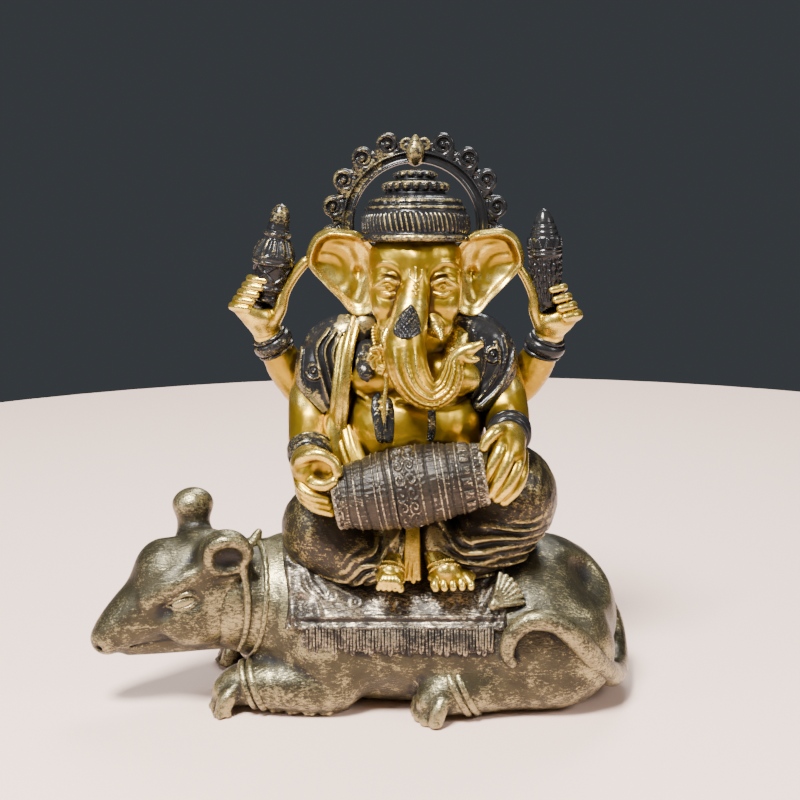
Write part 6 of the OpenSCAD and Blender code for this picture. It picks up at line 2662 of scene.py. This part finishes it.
@dataclass
class Drum(Sculpture):
    """A barrel drum held across the lap: carved shell, skins and hoops."""

    middle: Point = (-0.8, -14.0, 15.5)
    slope: float = 9.9
    half: float = 10.4
    end_radius: float = 4.1
    radius: float = 5.6
    hoops: Sequence[float] = (-0.93, -0.72, -0.45, -0.38, -0.22, 0.16, 0.4, 0.47, 0.67, 0.89)

    def axis(self) -> Point:
        """The drum's axis, rising towards the idol's left."""
        turn = math.radians(self.slope)
        return (math.cos(turn), 0.0, math.sin(turn))

    def swell(self, share: Array) -> Array:
        """The barrel's radius: the end radius plus the bulge times 1 - t^2."""
        return self.end_radius + (self.radius - self.end_radius) * (1 - share**2)

    def build(self) -> None:
        """Shell with its carved bands, then hoops and skins."""
        self.shell()
        rings = []
        for share in self.hoops:
            centre = np.asarray(self.middle, float) + np.asarray(self.axis()) * share * self.half
            rings.append(hoop(centre, self.axis(), float(self.swell(np.array(share))) + 0.02, 0.16, 0.2,
                              150,
                              lambda a, p: 0.12 * np.sin(9 * a) * np.cos(p)))
        self.put("drum_hoops", joined(rings), DRUM, leaf=-0.14)
        skins = []
        for side in (-1.0, 1.0):
            radius = self.end_radius
            corners = [(0, -0.5), (radius - 0.4, -0.5), (radius + 0.12, -0.3), (radius + 0.2, 0.0),
                       (radius + 0.05, 0.35),
                       (radius - 0.4, 0.42), (radius - 0.8, 0.2), (radius - 1.3, 0.24), (0, 0.42)]
            skin = turned_profile(fine_profile(corners, 0.12, 2), 168, self.lacing)
            centre = np.asarray(self.middle, float) + np.asarray(self.axis()) * side * self.half
            skins.append(outward(placed(skin, centre, side * np.asarray(self.axis()))))
        self.put("drum_skins", joined(skins), SILVER, leaf=-0.1)

    @staticmethod
    def lacing(height: Array, angle: Array) -> Array:
        """Twenty-four knots on the upper edge of a skin."""
        return 0.16 * ease(height, -0.3, 0.0) * np.cos(24 * angle)

    def shell(self) -> None:
        """The barrel: height over the plain swell from carving(t, a)."""
        share = np.linspace(-1, 1, 210)
        profile = np.stack([self.swell(share), share * self.half], 1)
        profile = np.vstack([[0, -self.half], profile, [0, self.half]])
        columns = 300
        angle = np.arange(columns) * TAU / columns
        carved = np.zeros((len(profile), columns))
        carved[1:-1] = self.carving(share[:, None], angle[None, :])
        radius = profile[:, :1] + carved
        points = np.stack([radius * np.cos(angle), radius * np.sin(angle),
                           profile[:, 1:] * np.ones(columns)], -1)
        barrel = placed(closed_grid(points), self.middle, self.axis())
        self.put("drum_shell", outward(barrel), DRUM, leaf=-0.22)

    @staticmethod
    def carving(share: Array, angle: Array) -> Array:
        """Relief in millimetres: curling scrollwork in the middle, square studs, lacing, and staves.

        Args:
            share: -1 to 1 along the drum.
            angle: round it, in radians.

        Returns:
            Height for each share and angle.
        """
        cells, lanes = 17, 2
        along = (share + 0.03) / 0.15
        band = ease(np.abs(along), 1.0, 0.88)
        cell = np.mod(angle * cells / TAU, 1.0) * 2 - 1
        lane = np.mod((along + 1) * 0.5 * lanes, 1.0) * 2 - 1
        number = np.floor(angle * cells / TAU) + 3 * np.floor((along + 1) * 0.5 * lanes)
        away, turn = np.hypot(cell, lane), np.arctan2(lane, cell) + 1.7 * number
        coil = np.cos(TAU * 1.15 * away - turn)
        scroll = band * (0.24 * ease(coil, 0.0, 0.7) - 0.08)
        square = np.abs(np.mod(angle * cells / TAU, 1) - 0.5)
        studs = ease(np.abs(share - 0.78), 0.075, 0.06) * ease(square, 0.36, 0.3)
        lace = ease(np.abs(share - 0.95), 0.05, 0.03) + ease(np.abs(share + 0.97), 0.03, 0.02)
        knots = ease(np.cos(26 * angle), -0.2, 0.5)
        wander = share + 0.012 * np.sin(3 * angle + 9 * share)
        cuts = sum(0.2 * hump(wander, place, 0.016) for place in (-0.83, -0.6, -0.29, -0.2, 0.27, 0.56))
        dents = 0.07 * np.sin(7 * share + 2 * np.sin(2 * angle)) * np.sin(5 * angle + 4 * share)
        grain = 0.025 * np.sin(38 * angle + 5 * np.sin(3 * share)) * (1 - band)
        return scroll + 0.24 * studs + 0.24 * lace * knots - cuts + dents + grain


@dataclass
class Idol(Sculpture):
    """The seated deity: lap, body, arms, head, regalia and drum."""

    def build(self) -> None:
        """Builds each sub-assembly in order."""
        for kind in (Lap, Body, Arms, Head, Regalia, Drum):
            kind(self.bench, self.at).build()


# ---------------------------------------------------------------- stage


@dataclass
class Studio:
    """Camera, soft lights and a plain pale floor."""

    eye: Point = (4.85, -228.3, 95.0)
    pitch: float = 12.3
    lens: float = 71.8
    floor_size: float = 0.24

    def build(self) -> None:
        """Sets all of it up."""
        scene = bpy.context.scene
        data = bpy.data.cameras.new("camera")
        data.lens, data.sensor_width = self.lens, 36.0
        data.clip_start, data.clip_end = 0.01, 10.0
        camera = bpy.data.objects.new("camera", data)
        camera.location = tuple(v * MM for v in self.eye)
        camera.rotation_euler = (math.radians(90 - self.pitch), 0.0, 0.0)
        scene.collection.objects.link(camera)
        scene.camera = camera
        self.floor()
        self.world(scene)
        self.lamp("key", (-0.10, -0.20, 0.40), (0, 0, 0.045), 0.11, 7.7, (1.0, 0.98, 0.95))
        self.lamp("fill", (-0.36, -0.22, 0.20), (0, 0, 0.04), 0.12, 0.7, (0.93, 0.96, 1.0))
        self.lamp("side", (0.34, -0.18, 0.26), (0, 0, 0.04), 0.12, 0.9, (1.0, 0.97, 0.93))
        self.lamp("back", (0.06, 0.24, 0.34), (0, 0, 0.03), 0.16, 1.5, (0.97, 0.98, 1.0))

    @staticmethod
    def lamp(name: str, place: Point, target: Point, size: float, power: float, colour: Colour) -> None:
        """One square soft light that looks at a target.

        Args:
            name: the light's name.
            place: where it stands, in metres.
            target: what it looks at.
            size: its side.
            power: in watts.
            colour: of its light.
        """
        data = bpy.data.lights.new(name, "AREA")
        data.size, data.energy, data.color = size, power, colour
        item = bpy.data.objects.new(name, data)
        ahead = unit(np.asarray(target, float) - np.asarray(place, float))
        item.location = place
        item.rotation_euler = (math.acos(-ahead[2]), 0.0, math.atan2(ahead[1], ahead[0]) - math.pi / 2)
        bpy.context.scene.collection.objects.link(item)

    def floor(self) -> None:
        """A pale matt disc under the piece: rings of points at z = 0."""
        angle = np.arange(96) * TAU / 96
        ring = np.stack([np.cos(angle), np.sin(angle), np.zeros(96)], 1) * self.floor_size
        ring[:, 0] += 0.02
        mesh = bpy.data.meshes.new("floor")
        mesh.from_pydata(ring.tolist(), [], [list(range(96))])
        item = bpy.data.objects.new("floor", mesh)
        made = bpy.data.materials.new("pale_floor")
        made.use_nodes = True
        shader = made.node_tree.nodes["Principled BSDF"]
        shader.inputs["Base Color"].default_value = (0.88, 0.64, 0.54, 1.0)
        shader.inputs["Roughness"].default_value = 0.7
        mesh.materials.append(made)
        bpy.context.scene.collection.objects.link(item)

    @staticmethod
    def world(scene: bpy.types.Scene) -> None:
        """Even grey light from all round.

        Args:
            scene: the scene that it lights.
        """
        world = bpy.data.worlds.new("studio")
        world.use_nodes = True
        world.node_tree.nodes["Background"].inputs["Color"].default_value = (0.070, 0.079, 0.088, 1.0)
        world.node_tree.nodes["Background"].inputs["Strength"].default_value = 0.6
        scene.world = world


def main() -> None:
    """Builds the frame, the figures and the stage, and notes the sizes."""
    logging.basicConfig(level=logging.INFO, format="%(name)s %(message)s")
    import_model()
    places = Places.from_frame()
    LOG.info("mouse at %s, idol at %s", places.mouse, places.idol)
    bench = Bench()
    Mouse(bench, places.mouse).build()
    Idol(bench, places.idol).build()
    bench.paint()
    Studio().build()


if __name__ == "__main__":
    main()
